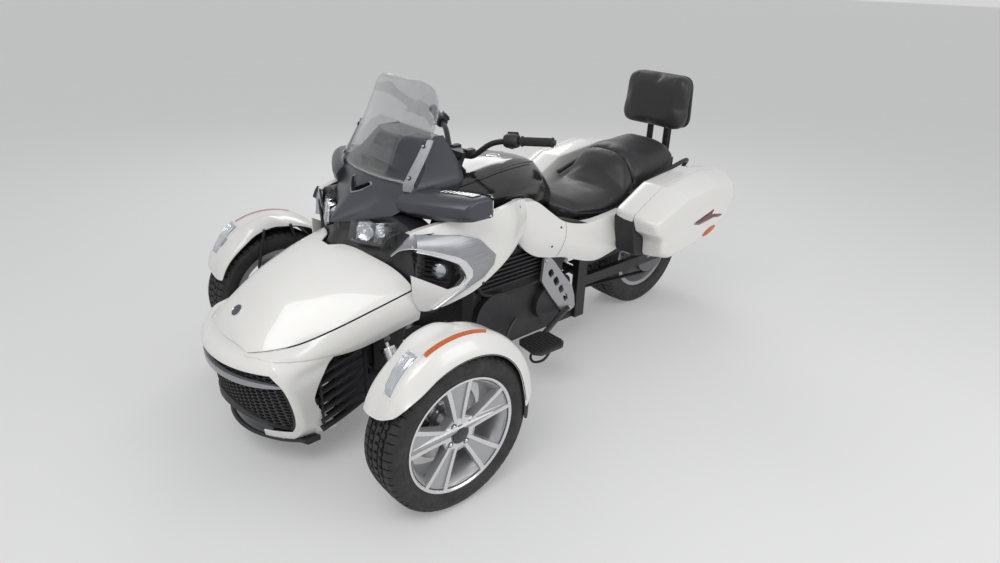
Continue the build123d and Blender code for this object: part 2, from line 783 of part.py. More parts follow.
bracket_rows = (
    # z, inner x, outer x, front y, rear y
    (930, 243.5, 252, -655, -615),
    (958, 232 + fit_gap, 244, -655, -618),
    (1096, 200 + fit_gap, 206, -560, -528),
)


def strip_outline(x0, x1, y0, y1):
    Polyline((x0, y0), (x1, y0), (x1, y1), (x0, y1), close=True)


with BuildPart() as screen_bracket:
    upward(bracket_rows, strip_outline)
    upward(cowl_rows, cowl_outline, mode=Mode.SUBTRACT)
    mirror(about=Plane.YZ)
save(screen_bracket, "screen_brackets")

# Mirror pods beside the cowl
pod_in_x = 214
pod_out_x = 450
pod_in_y = -565
pod_out_y = -450
with BuildPart() as pod:
    side_loft(((-690, 868), (pod_in_y, 868), (pod_in_y, 926), (-668, 926)),
              ((-560, 880), (pod_out_y, 880), (pod_out_y, 936), (-545, 936)), pod_in_x, pod_out_x)
    upward(cowl_rows, cowl_outline, mode=Mode.SUBTRACT)
    mirror(about=Plane.YZ)
save(pod, "mirror_pods")

with BuildPart() as mirror_glass:
    slope = (pod_out_y - pod_in_y) / (pod_out_x - pod_in_x)
    glass_x = (300, 438)
    front = [(x, pod_in_y + (x - pod_in_x) * slope + 0.4) for x in glass_x]
    back = [(x, y + 3) for x, y in reversed(front)]
    with BuildSketch(Plane.XY.offset(886)) as plan:
        with BuildLine():
            Polyline(*front, *back, close=True)
        make_face()
    extrude(plan.sketch, amount=36)
    mirror(about=Plane.YZ)
save(mirror_glass, "mirror_glass")

# White flanks below the cowl, with the silver louvre panels on them
flank_out_x = 372
flank_outline = ((-690, 700), (-690, 640), (-640, 560), (-477, 571), (-333, 647), (-200, 668),
                 (-172, 812), (-200, 832), (-397, 832), (-604, 846), (-690, 790))
with BuildPart() as flank:
    inner = [(y, z) for y, z in flank_outline]
    side_loft(inner, inner, flank_in_x, flank_out_x)
    mirror(about=Plane.YZ)
save(flank, "side_panels")

panel_t = 16
with BuildPart() as louvre:
    side_plate(((-706, 760), (-690, 838), (-640, 840), (-470, 772), (-380, 680), (-470, 596),
                (-640, 566), (-676, 600)), flank_out_x, flank_out_x + panel_t)
    mirror(about=Plane.YZ)
save(louvre, "louvre_panels")

# Tank cover between the cowl and the seat
tank_rows = (
    # y, half width, shoulder z, crown z
    (-418, 225, 800, 872),
    (-250, 225, 850, 912),
    (-80, 205, 860, 930),
    (80, 165, 820, 905),
    (140, 150, 780, 850),
)


def tank_outline(half, side_z, crown_z):
    Polyline((half, side_z), (half, tank_z0), (-half, tank_z0), (-half, side_z))
    ThreePointArc((-half, side_z), (0, crown_z), (half, side_z))


stem_hole_r = 30
with BuildPart() as tank:
    lengthwise(tank_rows, tank_outline)
    bar(tuple(column_top - steer_v * 200), tuple(column_top + steer_v * 200), stem_hole_r,
        mode=Mode.SUBTRACT)
save(tank, "tank_cover")

# Rear side panels under the seat
rear_panel = ((-165, 660), (-165, 812), (-90, 800), (60, 700), (160, 655), (300, 630), (500, 640),
              (500, 458), (316, 437), (100, 520), (-60, 560))
with BuildPart() as rear_flank:
    side_plate(rear_panel, panel_in_x, 262)
    mirror(about=Plane.YZ)
save(rear_flank, "rear_side_panels")

# Seats
seat_z0 = seat_rail_z1 + fit_gap
seat_rows = (
    # y, half width, edge z, crown z
    (146, 120, 720, 775),
    (260, 190, 668, 712),
    (400, 215, 655, 690),
    (520, 215, 660, 715),
    (600, 205, 700, 800),
    (640, 190, 735, 870),
)


def seat_outline(half, edge_z, crown_z):
    Polyline((half, edge_z), (half - 12, seat_z0), (12 - half, seat_z0), (-half, edge_z))
    ThreePointArc((-half, edge_z), (0, crown_z), (half, edge_z))


with BuildPart() as rider_seat:
    lengthwise(seat_rows, seat_outline)
save(rider_seat, "rider_seat")

pillion_rows = (
    # y, half width, edge z, crown z
    (640.6, 185, 740, 866),
    (760, 175, 770, 858),
    (930, 160, 790, 880),
)
with BuildPart() as pillion_seat:
    lengthwise(pillion_rows, seat_outline)
save(pillion_seat, "passenger_seat")

rest_w = 390
rest_h = 262
rest_r = 60
with BuildPart() as backrest:
    with BuildSketch(Plane.XZ.offset(-955)) as pad:
        with Locations((0, 1060)):
            RectangleRounded(rest_w, rest_h, rest_r)
    extrude(pad.sketch, amount=-80)
save(backrest, "backrest_pad")

# Rack behind the seats, with the backrest post and the grab rails
with BuildPart() as rack_frame:
    block(-60, 60, 1035.3, 1050, seat_z0, 1120)
    block(-140, 140, 935, 1050, seat_z0, 660)
    for x in (-230, 230):
        bar((x, 560, 700), (x, 1000, 800), 11)
        bar((x, 1000, 800), (x * 0.6, 1040, 642), 11)
save(rack_frame, "grab_rails")

# Handlebar: stem, clamp, bar, switch pods and grips turn about the tilted steering axis
stem_r = 19
clamp = column_top + steer_v * 158
bar_r = 11
bar_points = ((0, 0, 0), (70, -4, 0), (150, 30, 62), (250, 72, 84), (372, 128, 96))
with BuildPart() as handlebar:
    bar(tuple(column_top + steer_v * fit_gap), tuple(clamp), stem_r)
    block(-75, 75, clamp.Y - 22, clamp.Y + 22, clamp.Z - 24, clamp.Z + 16)
    for side in (-1, 1):
        points = [(side * x, clamp.Y + y, clamp.Z + z) for x, y, z in bar_points]
        for start, end in zip(points, points[1:]):
            bar(start, end, bar_r)
save(handlebar, "handlebar")

grip_r = 17
with BuildPart() as grip:
    inner = Vector(bar_points[3][0], clamp.Y + bar_points[3][1], clamp.Z + bar_points[3][2])
    outer = Vector(bar_points[4][0], clamp.Y + bar_points[4][1], clamp.Z + bar_points[4][2])
    run = (outer - inner).normalized()
    bar(tuple(inner + run * 12), tuple(outer + run * 4), grip_r)
    bar(tuple(inner + run * 5), tuple(outer), bar_r + 0.05, mode=Mode.SUBTRACT)
    mirror(about=Plane.YZ)
save(grip, "grips")

with BuildPart() as pod_switch:
    low = Vector(bar_points[2][0], clamp.Y + bar_points[2][1], clamp.Z + bar_points[2][2])
    run = (inner - low).normalized()
    bar(tuple(low + run * 50), tuple(inner - run * 4), 27)
    bar(tuple(low), tuple(inner), bar_r + 0.05, mode=Mode.SUBTRACT)
    mirror(about=Plane.YZ)
save(pod_switch, "switch_pods")

# Dash: the shell's rear shelf with the display
with BuildPart() as dash:
    with BuildSketch(Plane.XY.offset(930)) as plan:
        with Locations((0, -490)):
            RectangleRounded(230, 120, 14)
    extrude(plan.sketch, amount=30)
    for x in (-80, 80):
        block(x - 12, x + 12, -505, -475, 872, 931)
    block(-184.5, 184.5, -505, -475, 850, 872)
save(dash, "dash_display")

# Saddlebags: an inner tub and an outer lid that swings down about its lower edge
bag_tub_outline = ((400, 668), (590, 772), (860, 806), (1050, 782), (1075, 700), (1010, 560),
                   (800, 470), (560, bag_hinge_z + 4), (440, 470))
bag_lid_outer = ((430, 655), (640, 742), (860, 762), (1020, 735), (1050, 690), (990, 580),
                 (800, 500), (560, 470), (460, 500))
bag_mid_y = 730
bag_mid_z = 620


def shrunk(points, wall):
    """The outline pulled in towards the bag's middle by a wall."""
    result = []
    for y, z in points:
        away = Vector(y - bag_mid_y, z - bag_mid_z)
        away = away * ((away.length - wall * 1.35) / away.length)
        result.append((bag_mid_y + away.X, bag_mid_z + away.Y))
    return result


bag_out_x = 498
with BuildPart() as bag_tub:
    side_loft(shrunk(bag_tub_outline, 16), bag_tub_outline, bag_in_x, bag_split_x)
    side_loft(shrunk(bag_tub_outline, 16 + bag_wall), shrunk(bag_tub_outline, bag_wall),
              bag_in_x + bag_wall, bag_split_x + 0.01, mode=Mode.SUBTRACT)
    for y in (600, 760):
        block(bag_split_x - 20, bag_split_x, y - 7, y + 7, bag_hinge_z - 6, bag_hinge_z + 30)
        block(bag_split_x - 1, bag_hinge_x, y - 7, y + 7, bag_hinge_z - 6, bag_hinge_z + 6)
    bar((bag_hinge_x, 590, bag_hinge_z), (bag_hinge_x, 770, bag_hinge_z), bag_pin_r)
save_both(bag_tub, "saddlebag_tubs")

with BuildPart() as bag_lid:
    side_loft(bag_tub_outline, bag_lid_outer, bag_split_x + seam, bag_out_x)
    side_loft(shrunk(bag_tub_outline, bag_wall), shrunk(bag_lid_outer, bag_wall),
              bag_split_x + seam - 0.01, bag_out_x - bag_wall, mode=Mode.SUBTRACT)
    for y in (622, 738):
        block(bag_hinge_x - 7, bag_hinge_x + 8, y - 7, y + 7, bag_hinge_z - 7, bag_hinge_z + 24)
        bar((bag_hinge_x, y - 8, bag_hinge_z), (bag_hinge_x, y + 8, bag_hinge_z),
            bag_pin_r + fit_gap, mode=Mode.SUBTRACT)
save_pair(bag_lid, "saddlebag_lid")

# Rear mudguard with a blank plate, and the tail lamp
guard_outer = (
    # distance behind the axle, z
    (76.3, 624), (151, 612), (281, 560), (356, 460), (396, 350), (408, 300))
guard_inner = ((397, 297), (385, 346), (345, 453), (273, 550), (147, 602), (76.3, 612))
mudguard = [(rear_axle_y + y, z) for y, z in guard_outer + guard_inner]
plate_low = (rear_axle_y + 394, 356.7)
plate_high = (rear_axle_y + 358.1, 455.4)
plate_t = 4
plate_half = 95
plate_bolt_x = 70
plate_bolt_r = 3.5
plate_rise = Vector(0, plate_high[0] - plate_low[0], plate_high[1] - plate_low[1])
plate_out = plate_rise.cross(Vector(1, 0, 0)).normalized()
plate_mid = Vector(0, *plate_low) + plate_rise / 2


def plate_holes():
    """Two bolt holes through the plate and the mudguard behind it."""
    for x in (-plate_bolt_x, plate_bolt_x):
        spot = plate_mid + Vector(x, 0, 0)
        bar(tuple(spot - plate_out * 25), tuple(spot + plate_out * 15), plate_bolt_r,
            mode=Mode.SUBTRACT)


with BuildPart() as rear_guard:
    side_plate(mudguard, -105, 105)
    plate_holes()
save(rear_guard, "rear_mudguard")

with BuildPart() as plate:
    out_y, out_z = plate_out.Y * plate_t, plate_out.Z * plate_t
    side_plate((plate_high, plate_low, (plate_low[0] + out_y, plate_low[1] + out_z),
                (plate_high[0] + out_y, plate_high[1] + out_z)), -plate_half, plate_half)
    plate_holes()
save(plate, "blank_plate")

with BuildPart() as tail_lamp:
    block(-120, 120, 1050.3, 1066, 630, 657)
save(tail_lamp, "tail_lamp")

# Swingarm with the rear axle, the belt and the shock absorber
arm_x0 = upright_x0 + 2
arm_x1 = upright_x1 - 2
with BuildPart() as swingarm:
    for x0, x1 in ((arm_x0, arm_x1), (-arm_x1, -arm_x0)):
        block(x0, x1, frame_rear_y + fit_gap, rear_axle_y + 30, rear_r - 25, rear_r + 25)
    bar((-arm_x0 - 1, 400, rear_r), (arm_x0 + 1, 400, rear_r), 20)
    bar((-arm_x0 - 1, rear_axle_y, rear_r), (arm_x0 + 1, rear_axle_y, rear_r), axle_r)
save(swingarm, "swingarm")


def belt_loop(front_r_, rear_r_):
    """The outline around the sprocket and the pulley, with its straight strands tangent."""
    lean = math.asin((rear_r_ - front_r_) / (rear_axle_y - sprocket_y))
    dy, dz = -math.sin(lean), math.cos(lean)
    front = (sprocket_y, rear_r)
    rear = (rear_axle_y, rear_r)
    points = [(c[0] + dy * r, c[1] + sign * dz * r)
              for c, r, sign in ((front, front_r_, 1), (rear, rear_r_, 1), (rear, rear_r_, -1),
                                 (front, front_r_, -1))]
    Line(points[0], points[1])
    ThreePointArc(points[1], (rear[0] + rear_r_, rear[1]), points[2])
    Line(points[2], points[3])
    ThreePointArc(points[3], (front[0] - front_r_, front[1]), points[0])


with BuildPart() as belt:
    for extra, mode in ((belt_t, Mode.ADD), (0, Mode.SUBTRACT)):
        with BuildSketch(Plane.YZ.offset(belt_x0)) as loop:
            with BuildLine():
                belt_loop(sprocket_r + fit_gap + extra, pulley_r + 0.6 + extra)
            make_face()
        extrude(loop.sketch, amount=belt_w, mode=mode)
save(belt, "drive_belt")

shock_foot = (shock_x, front_axle_y, shock_foot_z + 16)
shock_head = (tower_x1 + 18, front_axle_y, shock_top_z)
with BuildPart() as shock:
    axis_v = Vector(*shock_head) - Vector(*shock_foot)
    along = axis_v.normalized()
    low = Vector(*shock_foot)
    bar(shock_foot, shock_head, 9)
    bar(tuple(low + along * 60), tuple(low + along * (axis_v.length - 50)), 29)
    bar((shock_x, front_axle_y - 14, shock_foot_z + 16), (shock_x, front_axle_y + 14, shock_foot_z + 16),
        16)
    bar((tower_x1 + fit_gap, front_axle_y, shock_top_z), (tower_x1 + 40, front_axle_y, shock_top_z), 14)
    mirror(about=Plane.YZ)
    foot = Vector(0, 400, rear_r + 20 + 14 + fit_gap)
    head = Vector(0, upright_y0 + 20, seat_rail_z0 - 14 - fit_gap)
    along = (head - foot).normalized()
    bar(tuple(foot), tuple(head), 9)
    bar(tuple(foot + along * 34), tuple(head - along * 30), 30)
    for end in (foot, head):
        bar((-16, end.Y, end.Z), (16, end.Y, end.Z), 14)
save(shock, "shock_absorbers")

# Footrests and their cast brackets
bracket_x0 = engine_x + 32 + fit_gap
with BuildPart() as foot_bracket:
    side_plate(((0, 545), (60, 505), (185, 355), (215, 240), (150, 225), (60, 330), (-10, 430)),
               bracket_x0, bracket_x0 + 14)
    mirror(about=Plane.YZ)
save(foot_bracket, "foot_brackets")

board_z0 = 222
board_z1 = 240
with BuildPart() as footboard:
    block(322, 470, -215, -45, board_z0, board_z1)
    bar((180, -130, 150), (335, -130, board_z0 - 8), 9)
    block(322, 350, -145, -115, board_z0 - 20, board_z0)
    block(rail_x + rail_w / 2 + fit_gap, 190, -150, -110, rail_z0, rail_z1)
    mirror(about=Plane.YZ)
save(footboard, "footboards")

# Silencer on the right side
muffler_r = 48
muffler_x = upright_x1 + 2 + muffler_r
pipe_r = 20
pipe_x = 160
pipe_z = 228
with BuildPart() as muffler:
    bar((-muffler_x, 290, pipe_z + 12), (-muffler_x, 800, pipe_z + 34), muffler_r)
    with BuildLine() as route:
        FilletPolyline((-pipe_x, engine_y1 + fit_gap, pipe_z), (-pipe_x, engine_y1 + 42, pipe_z),
                       (-muffler_x, 310, pipe_z + 12), radius=36)
    with BuildSketch(Plane(origin=route.line @ 0, z_dir=route.line % 0)):
        Circle(pipe_r)
    sweep()
save(muffler, "muffler")
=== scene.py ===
import math

import bmesh
import bpy
from mathutils import Matrix, Vector
from mathutils.geometry import tessellate_polygon


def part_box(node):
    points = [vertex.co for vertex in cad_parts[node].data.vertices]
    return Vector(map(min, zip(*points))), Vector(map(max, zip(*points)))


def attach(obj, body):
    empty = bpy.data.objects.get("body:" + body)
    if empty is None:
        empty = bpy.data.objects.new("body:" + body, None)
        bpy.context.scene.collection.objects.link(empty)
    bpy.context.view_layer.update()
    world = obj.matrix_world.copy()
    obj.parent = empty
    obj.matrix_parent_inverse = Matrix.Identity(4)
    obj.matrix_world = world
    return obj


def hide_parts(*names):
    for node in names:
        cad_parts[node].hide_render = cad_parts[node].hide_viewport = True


# The looks of a white three-wheeled roadster, in metres.
# +X is the rider's left, the front faces -Y, +Z is up, the ground is Z = 0.

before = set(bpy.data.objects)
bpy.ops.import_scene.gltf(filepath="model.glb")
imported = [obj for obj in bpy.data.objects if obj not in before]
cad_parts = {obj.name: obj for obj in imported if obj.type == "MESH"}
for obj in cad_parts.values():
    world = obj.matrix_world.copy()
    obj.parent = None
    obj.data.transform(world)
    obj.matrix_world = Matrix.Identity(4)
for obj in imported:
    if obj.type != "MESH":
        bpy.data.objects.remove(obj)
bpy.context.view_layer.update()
scene = bpy.context.scene


# Materials

M = {}


def add(name, colour, rough=.5, metal=0.0, **more):
    """A Principled material; more holds its other sockets by name, with _ for a space."""
    mat = bpy.data.materials.new(name)
    mat.use_nodes = True
    surface = mat.node_tree.nodes["Principled BSDF"]
    surface.inputs["Base Color"].default_value = (*colour, 1)
    surface.inputs["Roughness"].default_value = rough
    surface.inputs["Metallic"].default_value = metal
    for socket, value in more.items():
        surface.inputs[socket.replace("_", " ")].default_value = value
    M[name] = mat
    return mat


def node(tree, kind, **values):
    """A new shader node; values holds its sockets by name, with _ for a space."""
    made = tree.nodes.new("ShaderNode" + kind)
    for socket, value in values.items():
        made.inputs[socket.replace("_", " ")].default_value = value
    return made


def ramp(tree, low, high, start, end):
    """A colour ramp from one colour to another."""
    made = node(tree, "ValToRGB")
    for k, (place, colour) in enumerate(((start, low), (end, high))):
        made.color_ramp.elements[k].position = place
        made.color_ramp.elements[k].color = (*colour, 1)
    return made


def texture(mat, scale, stretch=(1, 1, 1), kind="Noise", **more):
    """A procedural texture in the object's own coordinates, in cells per metre."""
    tree = mat.node_tree
    mapping = node(tree, "Mapping", Scale=stretch)
    made = node(tree, "Tex" + kind, Scale=scale, **more)
    tree.links.new(node(tree, "TexCoord").outputs["Object"], mapping.inputs["Vector"])
    tree.links.new(mapping.outputs["Vector"], made.inputs["Vector"])
    return made


def vary(mat, scale, low, high, **how):
    """Varies the roughness by a texture; how is as in texture."""
    tree = mat.node_tree
    remap = node(tree, "MapRange", From_Min=.3, From_Max=.7, To_Min=low, To_Max=high)
    tree.links.new(texture(mat, scale, **how).outputs[0], remap.inputs["Value"])
    tree.links.new(remap.outputs["Result"], tree.nodes["Principled BSDF"].inputs["Roughness"])


def tint(mat, scale, low, high, start=.35, end=.65, **how):
    """Mixes two base colours by a texture."""
    tree = mat.node_tree
    colours = ramp(tree, low, high, start, end)
    tree.links.new(texture(mat, scale, **how).outputs[0], colours.inputs["Fac"])
    tree.links.new(colours.outputs["Color"], tree.nodes["Principled BSDF"].inputs["Base Color"])


def grain(mat, scale, depth, strength=1.0, **how):
    """Bump from a texture, with its depth in metres; a second call adds to the first."""
    tree = mat.node_tree
    bump = node(tree, "Bump", Distance=depth, Strength=strength)
    tree.links.new(texture(mat, scale, **how).outputs[0], bump.inputs["Height"])
    normal = tree.nodes["Principled BSDF"].inputs["Normal"]
    if normal.is_linked:
        tree.links.new(normal.links[0].from_socket, bump.inputs["Normal"])
    tree.links.new(bump.outputs["Normal"], normal)


def make_paints():
    mat = add("white_paint", (.80, .79, .765), .34, Coat_Weight=.7, Coat_Roughness=.04)
    tint(mat, 3.5, (.79, .78, .75), (.81, .80, .78), Detail=2.0)
    grain(mat, 420.0, .00002, .25, Detail=1.0)
    mat = add("dark_cowl", (.062, .066, .078), .36, .35, Coat_Weight=.15, Coat_Roughness=.3)
    vary(mat, 9.0, .34, .43)
    grain(mat, 1500.0, .00003, .4, Detail=1.0)
    mat = add("black_gloss", (.014, .014, .016), .16, Coat_Weight=.4, Coat_Roughness=.06)
    vary(mat, 12.0, .13, .2)
    mat = add("black_satin", (.022, .022, .024), .38)
    vary(mat, 14.0, .33, .44)
    grain(mat, 1300.0, .00004, .4)
    mat = add("black_plastic", (.02, .02, .022), .55)
    vary(mat, 22.0, .48, .62)
    grain(mat, 900.0, .0001, .5, kind="Voronoi")
    mat = add("frame_paint", (.016, .016, .018), .4)
    vary(mat, 30.0, .33, .5)
    grain(mat, 700.0, .00006, .4)
    mat = add("silver_panel", (.33, .335, .36), .34, .6, Coat_Weight=.2, Coat_Roughness=.2)
    tint(mat, 260.0, (.30, .305, .33), (.36, .365, .39), stretch=(1, .02, 1))
    grain(mat, 900.0, .00004, .35, stretch=(1, .02, 1))
    # Dark blue gloss: the badges' own blue, and on the grille's lower insert a painted reflection, blue
    # standing in for a blue-lit surrounding mirrored in gloss black.
    mat = add("blue_gloss", (.028, .034, .050), .24, .3, Coat_Weight=.8, Coat_Roughness=.05)
    vary(mat, 10.0, .16, .25)
    mat = add("plate_white", (.72, .72, .70), .35, Coat_Weight=.3)
    grain(mat, 500.0, .00004, .4)


def make_metals():
    mat = add("cast_silver", (.42, .42, .44), .42, .7)
    vary(mat, 40.0, .36, .5)
    grain(mat, 600.0, .00008, .4)
    mat = add("engine_cast", (.045, .045, .048), .5, .4)
    vary(mat, 35.0, .42, .6)
    grain(mat, 420.0, .00015, .5)
    mat = add("alloy_bright", (.74, .74, .755), .22, .85)
    vary(mat, 320.0, .17, .3)
    mat = add("alloy_paint", (.44, .44, .455), .36, .55)
    vary(mat, 60.0, .3, .42)
    grain(mat, 1400.0, .00003, .4)
    mat = add("alloy_grey", (.16, .16, .17), .42, .5)
    grain(mat, 1100.0, .00003, .4)
    mat = add("steel", (.5, .5, .5), .3, 1.0)
    vary(mat, 200.0, .22, .42)
    grain(mat, 900.0, .00002, .3)
    mat = add("chrome", (.82, .82, .84), .08, 1.0)
    vary(mat, 25.0, .05, .12)
    mat = add("exhaust", (.33, .32, .31), .33, .9)
    vary(mat, 120.0, .26, .42, stretch=(1, .05, 1))
    mat = add("mirror_face", (.9, .91, .93), .03, 1.0)
    vary(mat, 8.0, .02, .04)
    mat = add("lamp_mirror", (.80, .82, .85), .16, .85)
    grain(mat, 70.0, .0006, .4, stretch=(1, .4, .4), kind="Wave")


def make_soft():
    mat = add("tyre_rubber", (.022, .022, .023), .68)
    tint(mat, 18.0, (.017, .017, .018), (.032, .031, .030), Detail=4.0)
    vary(mat, 50.0, .58, .78)
    grain(mat, 900.0, .0001, .5, Detail=3.0)
    mat = add("soft_rubber", (.02, .02, .02), .7)
    grain(mat, 700.0, .0001, .5)
    mat = add("vinyl", (.018, .018, .02), .42, Sheen_Weight=.1)
    vary(mat, 12.0, .36, .5)
    grain(mat, 520.0, .00022, .55, kind="Voronoi")
    grain(mat, 60.0, .0008, .25)
    mat = add("vinyl_stitch", (.03, .03, .033), .6)
    grain(mat, 900.0, .0001, .6)


def make_lenses():
    mat = add("screen", (.30, .32, .35), .02, Transmission_Weight=.94, IOR=1.38, Alpha=.42)
    vary(mat, 6.0, .015, .035)
    mat = add("lens_clear", (.93, .95, .97), .03, Transmission_Weight=.95, IOR=1.3, Alpha=.6)
    vary(mat, 15.0, .02, .05)
    mat = add("amber_lens", (.50, .095, .008), .18, Coat_Weight=.5, Coat_Roughness=.05)
    tint(mat, 260.0, (.42, .07, .006), (.58, .12, .010), .1, .6, kind="Voronoi")
    grain(mat, 260.0, .0005, .5, kind="Voronoi")
    mat = add("red_lens", (.12, .006, .01), .14, Coat_Weight=.7, Coat_Roughness=.04)
    grain(mat, 220.0, .0005, .5, kind="Voronoi")
    mat = add("lens_white", (.52, .55, .60), .10, .55, Coat_Weight=.8, Coat_Roughness=.03)
    grain(mat, 45.0, .0006, .5, stretch=(1, .3, 1), kind="Wave")
    mat = add("display_glass", (.008, .009, .012), .06, Coat_Weight=.6, Coat_Roughness=.03)
    vary(mat, 10.0, .05, .09)


make_paints()
make_metals()
make_soft()
make_lenses()


# Shapes

def lerp(a, b, t):
    return a + (b - a) * t


def steps(count):
    """Shares from 0 to 1."""
    return [k / (count - 1) for k in range(count)]


def spans(count):
    """Shares from -1 to 1."""
    return [2 * s - 1 for s in steps(count)]


def evenly(start, end, count):
    """Evenly spaced values from start to end."""
    return [lerp(start, end, t) for t in steps(count)]


def through(table, count):
    """Evenly spaced values through the first column of a table."""
    return evenly(table[0][0], table[-1][0], count)


def sided(side, points):
    """Points put on one side of X = 0."""
    return [Vector((side * x, y, z)) for x, y, z in points]


def arch(t):
    """Rises from 0 to 1 in the middle of a share and falls again."""
    return math.sin(math.pi * t)


def smooth_table(rows, at):
    """The row of a table at a value of its first column, by smooth curves between its rows."""
    n = len(rows)
    i = max(0, min(n - 2, sum(1 for row in rows[1:-1] if row[0] <= at)))
    b, c = rows[i], rows[i + 1]
    a = rows[i - 1] if i else b
    d = rows[i + 2] if i + 2 < n else c
    span = c[0] - b[0]
    t = min(1, max(0, (at - b[0]) / span))
    out = []
    for k in range(1, len(b)):
        m0 = (c[k] - a[k]) / (c[0] - a[0]) * span
        m1 = (d[k] - b[k]) / (d[0] - b[0]) * span
        out.append((2 * t ** 3 - 3 * t * t + 1) * b[k] + (t ** 3 - 2 * t * t + t) * m0
                   + (3 * t * t - 2 * t ** 3) * c[k] + (t ** 3 - t * t) * m1)
    return out


def spread(points, count):
    """A smooth line through the points, with count steps to each stretch."""
    pts = [Vector(p) for p in points]
    out = []
    for i in range(len(pts) - 1):
        b, c = pts[i], pts[i + 1]
        a = pts[i - 1] if i else b + (b - c)
        d = pts[i + 2] if i + 2 < len(pts) else c + (c - b)
        for k in range(count):
            t = k / count
            out.append(.5 * (2 * b + (c - a) * t + (2 * a - 5 * b + 4 * c - d) * t * t
                              + (3 * b - a - 3 * c + d) * t ** 3))
    out.append(pts[-1])
    return out


def rounded(outline, radius, count=5):
    """A closed 2D outline with its corners rounded; radius may be one number or one for each."""
    radii = radius if hasattr(radius, "__len__") else [radius] * len(outline)
    out = []
    n = len(outline)
    for i, (corner, r) in enumerate(zip(outline, radii)):
        p = Vector(corner)
        if r <= 0:
            out.append(tuple(p))
            continue
        back, ahead = Vector(outline[i - 1]) - p, Vector(outline[(i + 1) % n]) - p
        half = back.angle(ahead) / 2
        cut = min(r / max(math.tan(half), 1e-6), .48 * back.length, .48 * ahead.length)
        a, b = p + back.normalized() * cut, p + ahead.normalized() * cut
        for t in steps(count + 1):
            out.append(tuple((1 - t) ** 2 * a + 2 * t * (1 - t) * p + t * t * b))
    return out


def ring_2d(centre, radius, count=12, start=0.0):
    return [(centre[0] + radius * math.cos(start + 2 * math.pi * k / count),
             centre[1] + radius * math.sin(start + 2 * math.pi * k / count)) for k in range(count)]


def new_object(name, data):
    obj = bpy.data.objects.new(name, data)
    scene.collection.objects.link(obj)
    return obj


